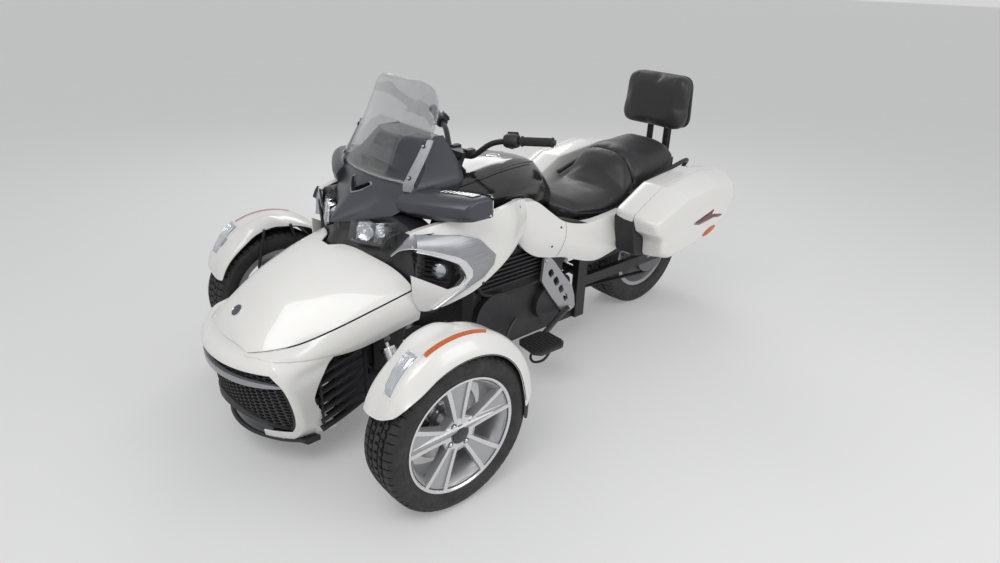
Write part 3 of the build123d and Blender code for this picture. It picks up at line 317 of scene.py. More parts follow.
class Shape:
    """The vertices and faces of one piece, gathered before its object is made."""

    def __init__(self):
        self.verts = []
        self.faces = []
        self.mats = []

    def add(self, verts, faces, mat=0):
        """mat is one material's place in the piece's list, or one for each face."""
        start = len(self.verts)
        self.verts += [tuple(v) for v in verts]
        self.faces += [tuple(i + start for i in f) for f in faces]
        self.mats += list(mat) if hasattr(mat, "__len__") else [mat] * len(faces)
        return self

    def grid(self, rows, close_rows=False, close_cols=False, mat=0, cap=False):
        """Quads between rows of points; cap closes both ends. mat may be one for each column."""
        n, m = len(rows), len(rows[0])
        verts = [p for row in rows for p in row]
        faces, mats = [], []
        for i in range(n if close_rows else n - 1):
            for j in range(m if close_cols else m - 1):
                a, b = i * m, ((i + 1) % n) * m
                k = (j + 1) % m
                faces.append((a + j, a + k, b + k, b + j))
                mats.append(mat[j] if hasattr(mat, "__len__") else mat)
        if cap:
            end = mat[-1] if hasattr(mat, "__len__") else mat
            faces.append(tuple(reversed(range(m))))
            faces.append(tuple((n - 1) * m + j for j in range(m)))
            mats += [end, end]
        return self.add(verts, faces, mats)

    def loft(self, rows, mat=0):
        """A closed skin through rings of points, with both ends capped."""
        return self.grid(rows, close_cols=True, mat=mat, cap=True)

    def prism(self, outline, shift, mat=0):
        """A closed outline of 3D points pushed along a shift."""
        shift = Vector(shift)
        first = [Vector(p) for p in outline]
        return self.loft([first, [p + shift for p in first]], mat)

    def box(self, low, high, mat=0):
        (x0, y0, z0), (x1, y1, z1) = low, high
        ring = [(x0, y0, z0), (x1, y0, z0), (x1, y1, z0), (x0, y1, z0)]
        return self.prism(ring, (0, 0, z1 - z0), mat)

    def plate(self, loops, place, depth, mat=0):
        """A plate with holes: 2D loops, the outer one first, put in space by place(u, v, w)."""
        flat = [Vector((u, v, 0)) for loop in loops for u, v in loop]
        triangles = tessellate_polygon([[Vector((u, v, 0)) for u, v in loop] for loop in loops])
        count = len(flat)
        verts = [place(p.x, p.y, 0) for p in flat] + [place(p.x, p.y, depth) for p in flat]
        faces = [tuple(t) for t in triangles]
        faces += [tuple(i + count for i in reversed(t)) for t in triangles]
        at = 0
        for loop in loops:
            n = len(loop)
            faces += [(at + i, at + (i + 1) % n, at + (i + 1) % n + count, at + i + count)
                      for i in range(n)]
            at += n
        return self.add(verts, faces, mat)

    def tube(self, points, radius, sides=14, mat=0, cap=True):
        """A tube along points; radius is one number or one for each point."""
        pts = [Vector(p) for p in points]
        radii = radius if hasattr(radius, "__len__") else [radius] * len(pts)
        rows = []
        side = None
        for i, p in enumerate(pts):
            run = (pts[min(i + 1, len(pts) - 1)] - pts[max(i - 1, 0)]).normalized()
            if side is None:
                side = run.orthogonal().normalized()
            side = (side - run * side.dot(run)).normalized()
            up = run.cross(side)
            rows.append([p + radii[i] * (math.cos(a) * side + math.sin(a) * up)
                         for a in (2 * math.pi * k / sides for k in range(sides))])
        return self.grid(rows, close_cols=True, mat=mat, cap=cap)

    def lathe(self, profile, centre, axis=(1, 0, 0), count=64, mat=0, closed=True):
        """Turns a profile of (along the axis, radius) points about an axis."""
        axis = Vector(axis).normalized()
        side = axis.orthogonal().normalized()
        up = axis.cross(side)
        centre = Vector(centre)
        rows = []
        for k in range(count):
            a = 2 * math.pi * k / count
            out = math.cos(a) * side + math.sin(a) * up
            rows.append([centre + axis * s + out * r for s, r in profile])
        return self.grid(rows, close_rows=True, close_cols=closed, mat=mat)

    def knob(self, centre, axis, radius, height, mat=0, count=16, edge=.25):
        """A round head with a chamfered edge, standing on a point along an axis."""
        cut = radius * edge
        profile = [(0, 0), (0, radius), (height - min(cut, height * .6), radius), (height, radius - cut),
                   (height, 0)]
        return self.lathe(profile, centre, axis, count, mat, closed=False)

    def bolt(self, centre, axis, radius, mat=0):
        """A socket screw's head: a round head with a raised six-sided rim."""
        height = radius * .7
        self.knob(centre, axis, radius, height, mat, 14)
        rim = [(height, radius * .78), (height + radius * .14, radius * .66),
               (height + radius * .14, radius * .46), (height - radius * .1, radius * .4)]
        return self.lathe(rim, centre, axis, 6, mat, closed=False)

    def coil(self, start, end, radius, wire, turns, mat=0, count=14, sides=8):
        """A helical spring between two points."""
        start, end = Vector(start), Vector(end)
        run = end - start
        side = run.normalized().orthogonal().normalized()
        up = run.normalized().cross(side)
        total = turns * count
        points = [start + run * (k / total) + radius * (math.cos(2 * math.pi * k / count) * side
                                                        + math.sin(2 * math.pi * k / count) * up)
                  for k in range(total + 1)]
        return self.tube(points, wire, sides, mat)

    def flipped(self):
        """A copy on the other side of X = 0."""
        other = Shape()
        other.verts = [(-x, y, z) for x, y, z in self.verts]
        other.faces = [tuple(reversed(f)) for f in self.faces]
        other.mats = list(self.mats)
        return other

    def mirror(self):
        """Adds the same shape on the other side of X = 0."""
        other = self.flipped()
        return self.add(other.verts, other.faces, other.mats)

    def build(self, name, mats, slot=None, cad=(), body="chassis", bevel=0, segments=2, smooth=35,
              subdivide=0, wall=0, inside=None, crease=None):
        """Makes the object; inside is a point behind a skin, which its wall grows towards."""
        mesh = bpy.data.meshes.new(name)
        mesh.from_pydata(self.verts, [], self.faces)
        for mat in mats:
            mesh.materials.append(M[mat])
        mesh.polygons.foreach_set("material_index", self.mats)
        obj = new_object(name, mesh)
        work = bmesh.new()
        work.from_mesh(mesh)
        bmesh.ops.remove_doubles(work, verts=work.verts, dist=1e-5)
        bmesh.ops.dissolve_degenerate(work, edges=work.edges, dist=1e-6)
        bmesh.ops.recalc_face_normals(work, faces=work.faces)
        if inside is not None:
            middle = Vector(inside)
            facing = sum(f.calc_area() * f.normal.dot(f.calc_center_median() - middle) for f in work.faces)
            if facing < 0:
                bmesh.ops.reverse_faces(work, faces=work.faces)
        if crease:
            layer = work.edges.layers.float.new("crease_edge")
            for edge in work.edges:
                edge[layer] = crease(*(v.co for v in edge.verts))
        work.to_mesh(mesh)
        work.free()
        mesh.shade_smooth()
        if subdivide:
            step = obj.modifiers.new("Subdivision", "SUBSURF")
            step.levels = step.render_levels = subdivide
        if wall:
            step = obj.modifiers.new("Wall", "SOLIDIFY")
            step.thickness = wall
            step.offset = -1
        if bevel:
            step = obj.modifiers.new("Bevel", "BEVEL")
            step.width = bevel
            step.segments = segments
            step.limit_method = "ANGLE"
            step.angle_limit = math.radians(32)
            obj.modifiers.new("Normals", "WEIGHTED_NORMAL").keep_sharp = True
        elif not subdivide:
            mesh.set_sharp_from_angle(angle=math.radians(smooth))
        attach(obj, body)
        if cad:
            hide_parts(*cad)
        return obj


def both_sides(shape, name, mats, bodies=("chassis", "chassis"), cad=(), **how):
    """The left piece and its mirrored twin; each replaces its own node of a pair."""
    shape.build(name + "_left", mats, cad=[n + "_left" for n in cad], body=bodies[0], **how)
    if how.get("inside") is not None:
        x, y, z = how["inside"]
        how["inside"] = (-x, y, z)
    shape.flipped().build(name + "_right", mats, cad=[n + "_right" for n in cad], body=bodies[1], **how)


# Wheels

rim_r = 15 * .0254 / 2


def middle(node):
    low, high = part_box(node)
    return (low + high) / 2


front_hub = middle("tyre_left")
right_hub = middle("tyre_right")
rear_hub = middle("tyre_rear")
front_r, front_half = front_hub.z, (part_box("tyre_left")[1].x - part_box("tyre_left")[0].x) / 2
rear_r, rear_half = rear_hub.z, (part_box("tyre_rear")[1].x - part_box("tyre_rear")[0].x) / 2
front_bead, rear_bead = .068, .090
tread_depth = .0075
shoulder_in, wall_in = .016, .002     # where a tyre's shoulder starts and ends, from its side

# Tread blocks of one pitch: each row is mm across the tread, then its start and end shares
front_tread = (
    ((-75, .14, .90), (-66, .08, .88), (-56, .04, .86), (-43, .00, .82)),
    ((-35, .03, .90), (-28, .02, .89), (-27.6, .02, .55), (-18, .05, .58)),
    ((-12, .00, .93), (-3, .00, .93), (-2.6, .30, .93), (12, .34, .97)),
    ((19, .02, .90), (27, .04, .92), (27.4, .04, .60), (34, .07, .62)),
    ((42, .00, .86), (50, .06, .92), (58, .12, .98), (66, .17, 1.02), (75, .20, 1.04)),
)
rear_tread = (
    ((-106, .16, .92), (-96, .08, .88), (-82, .02, .84), (-66, -.02, .80)),
    ((-57, .03, .90), (-46, .02, .89), (-45.6, .02, .55), (-33, .05, .58)),
    ((-26, .00, .93), (-14, .00, .93), (-13.6, .30, .93), (-4, .34, .97)),
    ((4, .03, .66), (13.6, .07, .70), (14, .07, 1.0), (26, .07, 1.0)),
    ((33, .02, .90), (45, .04, .92), (45.4, .04, .60), (57, .07, .62)),
    ((66, .00, .86), (82, .06, .92), (96, .12, .98), (106, .16, 1.02)),
)


def tread_radius(u, radius, half):
    shoulder = half - shoulder_in
    a = abs(u)
    if a <= shoulder:
        return radius - .0045 * (a / shoulder) ** 3
    return radius - .0045 - .021 * ((a - shoulder) / (half - wall_in - shoulder)) ** 1.5


def tyre(name, centre, radius, half, bead, tread, pitches, side, body):
    """A carcass with thin rings on its walls, and tread blocks standing on it."""
    shape = Shape()
    shoulder = half - shoulder_in
    right = []
    across = [shoulder * t for t in steps(6)][1:]
    for a in across + [lerp(shoulder, half - wall_in, t) for t in (.35, .7, 1)]:
        fade = 1 if a <= shoulder else 1 - (a - shoulder) / (half - wall_in - shoulder)
        right.append((a, tread_radius(a, radius, half) - tread_depth * fade))
    right += [(half - .001, radius - .034), (half, rim_r + .048), (half - .0006, rim_r + .0405),
              (half + .0004, rim_r + .039), (half - .0012, rim_r + .037),
              (half - .0060, rim_r + .027), (half - .0056, rim_r + .0245),
              (half - .0075, rim_r + .023), (bead + .003, rim_r + .014), (bead, rim_r + .002)]
    left = [(-x, r) for x, r in reversed(right)]
    shape.lathe(right + left, centre, count=120)
    pitch = 2 * math.pi / pitches
    for k in range(pitches):
        for block in tread:
            rows = []
            for u_mm, start, end in block:
                u = u_mm / 1000
                top = tread_radius(u, radius, half)
                low = top - tread_depth - .001
                row = []
                for share, r in ((start, top), (end, top), (end, low), (start, low)):
                    a = (k + share) * pitch
                    row.append(centre + Vector((side * u, -math.cos(a) * r, math.sin(a) * r)))
                rows.append(row)
            shape.loft(rows)
    shape.build(name + "_tread", ["tyre_rubber"], "tyre_rubber", [name], body, bevel=.0007, segments=1)


tyre("tyre_left", front_hub, front_r, front_half, front_bead, front_tread, 58, 1, "wheel_left")
tyre("tyre_right", right_hub, front_r, front_half, front_bead, front_tread, 58, -1, "wheel_right")
tyre("tyre_rear", rear_hub, rear_r, rear_half, rear_bead, rear_tread, 60, 1, "wheel_rear")

arm_count = 5
arm_turn = math.radians(21.4)
arm_start, arm_length = .044, .1525
rib_rows = (
    # along the arm, lateral place, half width of the top, half width of the base
    (.044, .0125, .0060, .0080),
    (.080, .0190, .0066, .0086),
    (.120, .0265, .0072, .0092),
    (.160, .0350, .0078, .0098),
    (.1965, .0440, .0086, .0105),
)
# Half of a window's edge between two arms, as (along the arm, across it)
window_side = ((.0640, .0225), (.1540, .0365), (.1835, .0540), (.1760, .0760))


def wheel_rim(name, centre, bead, side, hub_x, rim_x, body):
    """A cast rim: machined lip, barrel, five pairs of ribs with a pocket between, and the hub."""
    shape = Shape()
    bright, paint, dark, cap_black, lug = range(5)

    def place(out, along, across, turn):
        y = along * math.cos(turn) - across * math.sin(turn)
        z = along * math.sin(turn) + across * math.cos(turn)
        return centre + Vector((side * out, y, z))

    edge = bead + .007
    axis = (side, 0, 0)
    lip = [(edge - .008, rim_r + .0125), (edge - .001, rim_r + .0160), (edge, rim_r + .0140),
           (edge, rim_r + .0095), (edge - .004, rim_r + .0055), (edge - .010, rim_r + .006)]
    shape.lathe(lip, centre, axis, 120, bright)
    barrel = [(-edge, rim_r + .016), (-edge + .006, rim_r + .016), (-bead, rim_r + .001),
              (bead, rim_r + .001), (edge - .009, rim_r + .0125), (edge - .006, rim_r + .0055),
              (edge - .017, rim_r - .008), (edge - .040, rim_r - .020), (0.0, rim_r - .026),
              (-bead + .012, rim_r - .012), (-edge, rim_r - .004)]
    shape.lathe(barrel, centre, axis, 90, paint)
    for k in range(arm_count):
        turn = arm_turn + 2 * math.pi * k / arm_count
        for hand in (-1, 1):
            rows = []
            for along, across, top, base in rib_rows:
                x = lerp(hub_x, rim_x, (along - arm_start) / arm_length)
                mid = hand * across
                depth = .034 - .010 * (along - arm_start) / arm_length
                rows.append([place(x, along, mid - top, turn), place(x, along, mid + top, turn),
                             place(x - depth, along, mid + base, turn),
                             place(x - depth, along, mid - base, turn)])
            shape.loft(rows, (bright, paint, paint, paint))
    windows = []
    for k in range(arm_count):
        loop = []
        for turn, hand, points in ((arm_turn + 2 * math.pi * k / arm_count, 1, window_side),
                                   (arm_turn + 2 * math.pi * (k + 1) / arm_count, -1, window_side[::-1])):
            for along, across in points:
                spot = place(0, along, hand * across, turn) - centre
                loop.append((spot.y, spot.z))
        windows.append(rounded(loop, .006, 2))

    def on_cone(u, v, w):
        share = (math.hypot(u, v) - arm_start) / arm_length
        return centre + Vector((side * (lerp(hub_x, rim_x, share) - .0055 + w * (1.7 - share)), u, v))

    shape.plate([ring_2d((0, 0), rim_r + .006, 90)] + windows, on_cone, -.021, paint)
    hub = [(-.02, 0.0), (-.02, .054), (hub_x - .014, .060), (hub_x - .003, .058), (hub_x, .053),
           (hub_x, 0.0)]
    shape.lathe(hub, centre, axis, 60, bright, closed=False)
    shape.lathe([(hub_x - .001, .036), (hub_x + .0022, .0345), (hub_x + .0022, .0315),
                 (hub_x - .001, .030)], centre, axis, 48, dark)
    shape.lathe([(hub_x, .0312), (hub_x + .0040, .0300), (hub_x + .0058, .0200), (hub_x + .0064, 0.0)],
                centre, axis, 48, cap_black, closed=False)
    for k in range(4):
        spot = place(hub_x, .0455, 0, math.radians(33 + 90 * k))
        shape.lathe([(-.001, .0112), (.0012, .0106), (.0012, .0090), (-.001, .0088)], spot, axis, 24, dark)
        shape.lathe([(.0003, .0090), (.0003, 0.0)], spot, axis, 24, dark, closed=False)
        shape.knob(spot, axis, .0062, .0042, lug, 12)
    shape.build(name + "_cast", ["alloy_bright", "alloy_paint", "alloy_grey", "black_gloss", "chrome"],
                "wheel_alloy", [name], body, bevel=.0009, segments=2)


def brake_disc(name, centre, side, disc_x, outer, body):
    """A drilled rotor on a grey hat."""
    shape = Shape()
    rotor, hat, pin = range(3)

    def place(u, v, w):
        return centre + Vector((side * (disc_x + w), u, v))

    loops = [ring_2d((0, 0), outer, 96), ring_2d((0, 0), outer * .47, 60)]
    holes = 22
    for row, r in enumerate((.60, .72, .84, .93)):
        for k in range(holes):
            a = 2 * math.pi * (k + row * .27) / holes
            loops.append(ring_2d((outer * r * math.cos(a), outer * r * math.sin(a)), .0036, 8, a))
    shape.plate(loops, place, -.005, rotor)
    shape.lathe([(-.006, outer * .30), (-.006, outer * .50), (.002, outer * .50), (.010, outer * .42),
                 (.010, outer * .30)], centre + Vector((side * disc_x, 0, 0)), (side, 0, 0), 60, hat)
    for u, v in ring_2d((0, 0), outer * .455, 6):
        shape.knob(place(u, v, .0035), (side, 0, 0), .005, .004, pin, 12)
    shape.build(name, ["steel", "alloy_grey", "chrome"], "wheel_alloy", body=body, smooth=30)


wheel_rim("rim_left", front_hub, front_bead, 1, .0580, .0700, "wheel_left")
wheel_rim("rim_right", right_hub, front_bead, -1, .0580, .0700, "wheel_right")
wheel_rim("rim_rear", rear_hub, rear_bead, -1, .0680, .0880, "wheel_rear")
brake_disc("disc_left", front_hub, 1, -.028, .135, "wheel_left")
brake_disc("disc_right", right_hub, -1, -.028, .135, "wheel_right")
brake_disc("disc_rear", rear_hub, -1, .070, .135, "wheel_rear")


# Front fenders; angles are degrees above the front, about the wheel's axis

fender_table = (
    # angle, crown radius, inner edge radius, skirt edge radius
    (26, .304, .290, .302),
    (40, .322, .300, .310),
    (55, .340, .303, .283),
    (70, .352, .310, .284),
    (85, .355, .315, .287),
    (102, .353, .318, .290),
    (120, .345, .320, .288),
    (140, .334, .318, .274),
    (160, .322, .306, .256),
    (184, .312, .300, .254),
)
fender_columns = (
    # x across, blend from inner edge to crown, drop below the crown, start angle, end angle
    (-.0905, 0, 0, 28, 158),
    (-.0870, .30, 0, 28, 160),
    (-.0700, .55, 0, 27, 162),
    (-.0460, .82, 0, 27, 164),
    (-.0200, 1, .0050, 27.5, 166),
    (.0100, 1, .0005, 29, 168),
    (.0350, 1, -.0020, 31, 170),
    (.0520, 1, .0010, 33, 172),
    (.0650, 1, .0090, 35, 173),
)
fender_side = (
    # x across, blend from shoulder to skirt edge, start angle, end angle
    (.0800, .36, 38, 174),
    (.0900, .70, 42, 175),
    (.0945, .93, 45, 176.5),
    (.0925, 1, 46, 177),
)


def fender_point(x, radius, angle):
    turn = math.radians(angle)
    return front_hub + Vector((x, -math.cos(turn) * radius, math.sin(turn) * radius))


def hump_at(angle, x):
    """The round hump on the inboard side of the crown, from 0 to 1."""
    a, b = (angle - 80) / 15, (x + .060) / .034
    return max(0.0, 1 - a ** 4) * max(0.0, 1 - b ** 4)


def fender_skin(lift=0.0, count=34):
    rows = []
    for t in steps(count):
        row = []
        for x, mix, drop, start, end in fender_columns:
            angle = lerp(start, end, t)
            crown, inner, skirt = smooth_table(fender_table, angle)
            r = lerp(inner, crown, mix) - drop + .020 * hump_at(angle, x)
            row.append(fender_point(x, r - lift, angle))
        for x, mix, start, end in fender_side:
            angle = lerp(start, end, t)
            crown, inner, skirt = smooth_table(fender_table, angle)
            row.append(fender_point(x, lerp(crown - .009, skirt, mix) - lift * (1 - mix * .7), angle))
        rows.append(row)
    return rows


def shoulder_crease(a, b):
    """Creases the edges along the fender's outer shoulder."""
    return .75 if all(abs(abs(p.x) - front_hub.x - .065) < .001 for p in (a, b)) else 0.0


def fender_surface(x, angle):
    """The radius of the fender's crown at a place across it."""
    crown, inner = smooth_table(fender_table, angle)[:2]
    return smooth_table([(c[0], lerp(inner, crown, c[1]) - c[2]) for c in fender_columns], x)[0]


def over_crown(angle, places):
    """Points over the crown at one angle, from places of x and height."""
    return [fender_point(x, fender_surface(x, angle) + h, angle) for x, h in places]


turning = ("knuckle_left", "knuckle_right")


def make_fenders():
    shape = Shape().grid(fender_skin())
    both_sides(shape, "fender_shell", ["white_paint"], turning, ["fender"], slot="white_paint", subdivide=1,
               wall=.0030, bevel=.0010, inside=front_hub, crease=shoulder_crease)
    liner = Shape()
    liner.grid([row[:-1] for row in fender_skin(.0055)][1:-1])
    tail = []
    for angle in (150, 166, 180, 190):
        crown, inner, skirt = smooth_table(fender_table, min(angle, 178))
        tail.append([fender_point(x, r, angle) for x, r in
                     ((-.083, inner - .006), (-.060, crown - .020), (0, crown - .014),
                      (.060, crown - .018), (.083, lerp(crown, skirt, .5)), (.0875, skirt + .001))])
    liner.grid(tail)
    both_sides(liner, "fender_liner", ["black_plastic"], turning, slot="black_plastic", subdivide=1,
               wall=.0015, inside=front_hub)


def make_fender_lamps():
    shape = Shape()
    amber, glass, white, dark, mirror = range(5)
    rows = []
    for t in steps(22):
        angle = lerp(69.5, 109, t)
        x0, x1 = .0375 + (.004 if t == 0 else 0), .0525 - (.012 if t == 1 else 0)
        rows.append(over_crown(angle, ((x0, -.002), (x1, -.002), (x1 - .001, .0022),
                                       (x0 + .001, .0022))))
    shape.loft(rows, amber)
    rail = [over_crown(angle, ((.0360, -.001), (.0366, .0012), (.0372, -.001)))
            for angle in evenly(68.5, 110.5, 22)]
    shape.loft(rail, white)
    lamp = []
    for t, x0, x1, rise in ((0, .002, .034, .001), (.15, -.008, .037, .007), (.5, -.014, .040, .012),
                            (.85, -.012, .038, .016), (1, -.006, .034, .013)):
        lamp.append(over_crown(lerp(43.5, 66.5, t), (
            (x0, -.004), (x0 + .002, rise), (x1 - .010, rise + .001), (x1, rise * .45), (x1, -.004))))
    shape.loft(lamp, (glass, glass, glass, dark, glass))
    for k in range(5):
        x = -.006 + k * .0085
        ridge = []
        for angle, rise in zip(evenly(47, 64.5, 8), evenly(.0075, .0165, 8)):
            ridge.append([fender_point(x + dx, fender_surface(x, angle) + rise + h, angle)
                          for dx, h in ((-.0014, -.0010), (0, .0012), (.0014, -.0010))])
        shape.loft(ridge, mirror)
    for wall_x, lean, rise0, rise1 in ((-.017, .014, .003, .012), (.0435, -.006, .002, .014)):
        wall = []
        for t in steps(8):
            angle = lerp(42.5, 68, t)
            x = wall_x + lean * (1 - t)
            h = lerp(rise0, rise1, t)
            wall.append([fender_point(x + dx, fender_surface(x, angle) + up, angle)
                         for dx, up in ((-.0028, -.003), (-.0012, h), (.0012, h), (.0028, -.003))])
        shape.loft(wall, white)
    return shape


make_fenders()
both_sides(make_fender_lamps(), "fender_lamp",
           ["amber_lens", "lens_white", "white_paint", "black_gloss", "lamp_mirror"],
           turning, ["fender_lamps"], slot="amber_lens", bevel=.0004)


# Hood: the lid of the front compartment

hood_table = (
    # y, half width, edge z, crown z
    (-1.262, .128, .474, .490),
    (-1.235, .160, .482, .530),
    (-1.184, .203, .491, .574),
    (-1.100, .240, .503, .640),
    (-.985, .275, .537, .694),
    (-.858, .305, .579, .727),
    (-.700, .336, .629, .748),
)
hood_rear = ((0, -.862), (.030, -.862), (.062, -.822), (.100, -.803), (.180, -.772), (.285, -.724),
             (.325, -.712), (.336, -.720))
hood_nose_y = -1.262


def hood_height(x, y):
    half, edge, crown = smooth_table(hood_table, y)
    u = min(1.0, abs(x) / half)
    fold = .006 * max(0.0, 1 - abs(u - .74) / .26) * min(1.0, max(0.0, (y + 1.15) / .2))
    return edge + (crown - edge) * (1 - u ** 2.25) + fold


def rear_limit(x):
    for (x0, y0), (x1, y1) in zip(hood_rear, hood_rear[1:]):
        if abs(x) <= x1:
            return lerp(y0, y1, (abs(x) - x0) / (x1 - x0))
    return hood_rear[-1][1]


def make_hood():
    rows = []
    for t in steps(44):
        row = []
        for u in spans(51):
            y = lerp(hood_nose_y + .020 * u * u, rear_limit(u * hood_rear[-1][0]), t)
            x = u * smooth_table(hood_table, y)[0]
            row.append(Vector((x, y, hood_height(x, y))))
        rows.append(row)
    shape = Shape().grid(rows)
    shape.build("hood_skin", ["white_paint"], "white_paint", ["front_lid"], "lid", wall=.0045,
                bevel=.0016, segments=3, inside=(0, -1.0, .40))
    badge_y = -1.202
    spot = Vector((0, badge_y, hood_height(0, badge_y)))
    slope = Vector((0, .06, hood_height(0, badge_y + .03) - hood_height(0, badge_y - .03))).normalized()
    axis = Vector((1, 0, 0)).cross(slope)
    badge = Shape()
    chrome, blue = range(2)
    badge.lathe([(-.001, .0245), (.0030, .0240), (.0036, .0220), (.0026, .0205), (-.001, .0205)],
                spot, axis, 48, chrome)
    badge.lathe([(.0004, .0206), (.0020, .0190), (.0026, 0)], spot, axis, 48, blue, closed=False)
    badge.build("badge_ring", ["chrome", "blue_gloss"], "mirror_face", body="lid", smooth=40)


make_hood()


# Nose: the white fascia round the mouth, the grilles in it and the lip below

nose_table = (
    # z, front y, corner x, corner y, half width of the mouth
    (.116, -1.228, .200, -1.150, .150),
    (.140, -1.256, .236, -1.150, .205),
    (.182, -1.280, .272, -1.138, .252),
    (.225, -1.296, .292, -1.134, .276),
    (.300, -1.306, .302, -1.152, .290),
    (.390, -1.314, .302, -1.182, .290),
    (.440, -1.316, .282, -1.204, .262),
    (.462, -1.300, .262, -1.206, .240),
    (.476, -1.270, .240, -1.204, .215),
)
fascia_rear = -1.005
shoulder_table = (
    # y, outer x, outer z, depth of the lower face
    (-1.262, .140, .476, .004),
    (-1.235, .190, .477, .004),
    (-1.204, .242, .475, .006),
    (-1.160, .268, .470, .008),
    (-1.100, .288, .464, .012),
    (-1.005, .305, .466, .020),
    (-.930, .322, .486, .034),
    (-.858, .338, .510, .040),
    (-.780, .352, .538, .044),
    (-.706, .366, .562, .048),
)


def nose_plan(z, x):
    """The front's y at a height and a distance from the middle, as an arc through the corners."""
    front, corner_x, corner_y = smooth_table(nose_table, z)[:3]
    rise = corner_y - front
    radius = (corner_x ** 2 + rise ** 2) / (2 * rise)
    return front + radius - math.sqrt(max(radius ** 2 - x * x, 0))


def cheek(side):
    """The flank of the fascia, from the mouth's edge round the corner to the side intake."""
    rows = []
    for z in evenly(.140, .474, 27):
        corner_x, corner_y, half = smooth_table(nose_table, z)[1:]
        row = [Vector((half - .004, nose_plan(z, half) + .020, z)), Vector((half, nose_plan(z, half), z)),
               Vector((half + .004, nose_plan(z, half + .004), z))]
        row.append(Vector((corner_x - .002, corner_y - .001, z)))
        rear_x = .262 + .04 * min(1.0, max(0.0, (z - .14) / .20))
        inlet = .085 * max(0.0, 1 - abs((z - .315) / .14) ** 1.6)
        for share in steps(9)[1:]:
            y = lerp(corner_y, fascia_rear - inlet, share)
            fold = .007 * math.exp(-((z - .405 - (y + 1.14) * .22) / .018) ** 2) * min(1, share * 2)
            beam_z = smooth_table(shoulder_table, y)[1]
            row.append(Vector((lerp(corner_x, rear_x, share) - fold, y, min(z, beam_z - .0015))))
        rows.append(sided(side, row))
    return rows


def across_nose(z, set_back=0.0, reach=1.0, count=41):
    corner_x = smooth_table(nose_table, z)[1] * reach
    return [Vector((u * corner_x, nose_plan(z, u * corner_x) + set_back, z)) for u in spans(count)]


def make_fascia():
    shape = Shape()
    for side in (-1, 1):
        shape.grid(cheek(side))
    brow = [across_nose(.436, .022, .93)]
    brow += [across_nose(z) for z in (.437, .446, .455, .464, .472, .476)]
    for back in (.012, .022, .040, .070):
        row = []
        for p in brow[-1]:
            x, y = p.x * (1 - back), p.y + back
            under = hood_height(x, max(y, hood_nose_y)) - .0115
            row.append(Vector((x, y, min(under, .476 + back))))
        brow.append(row)
    shape.grid(brow)
    chin = [[p for p in across_nose(z) if p.x > .6 * corner] for z, corner in
            ((.140, .236), (.155, .248), (.170, .262), (.182, .272))]
    shape.grid([row[-8:] for row in chin])
    shape.grid([sided(-1, row[-8:]) for row in chin])
    shape.build("fascia_shell", ["white_paint"], "white_paint", ["nose_fascia"], wall=.0040,
                bevel=.0014, inside=(0, -1.0, .30))


def panel_top(x):
    """The top edge of the plain panel below the honeycomb."""
    return lerp(.276, .188, min(1.0, (abs(x) / .236) ** 1.6))


def panel_low(x):
    """The panel's lower edge, which the insert starts from."""
    return lerp(.236, .178, min(1.0, (abs(x) / .215) ** 2.0))


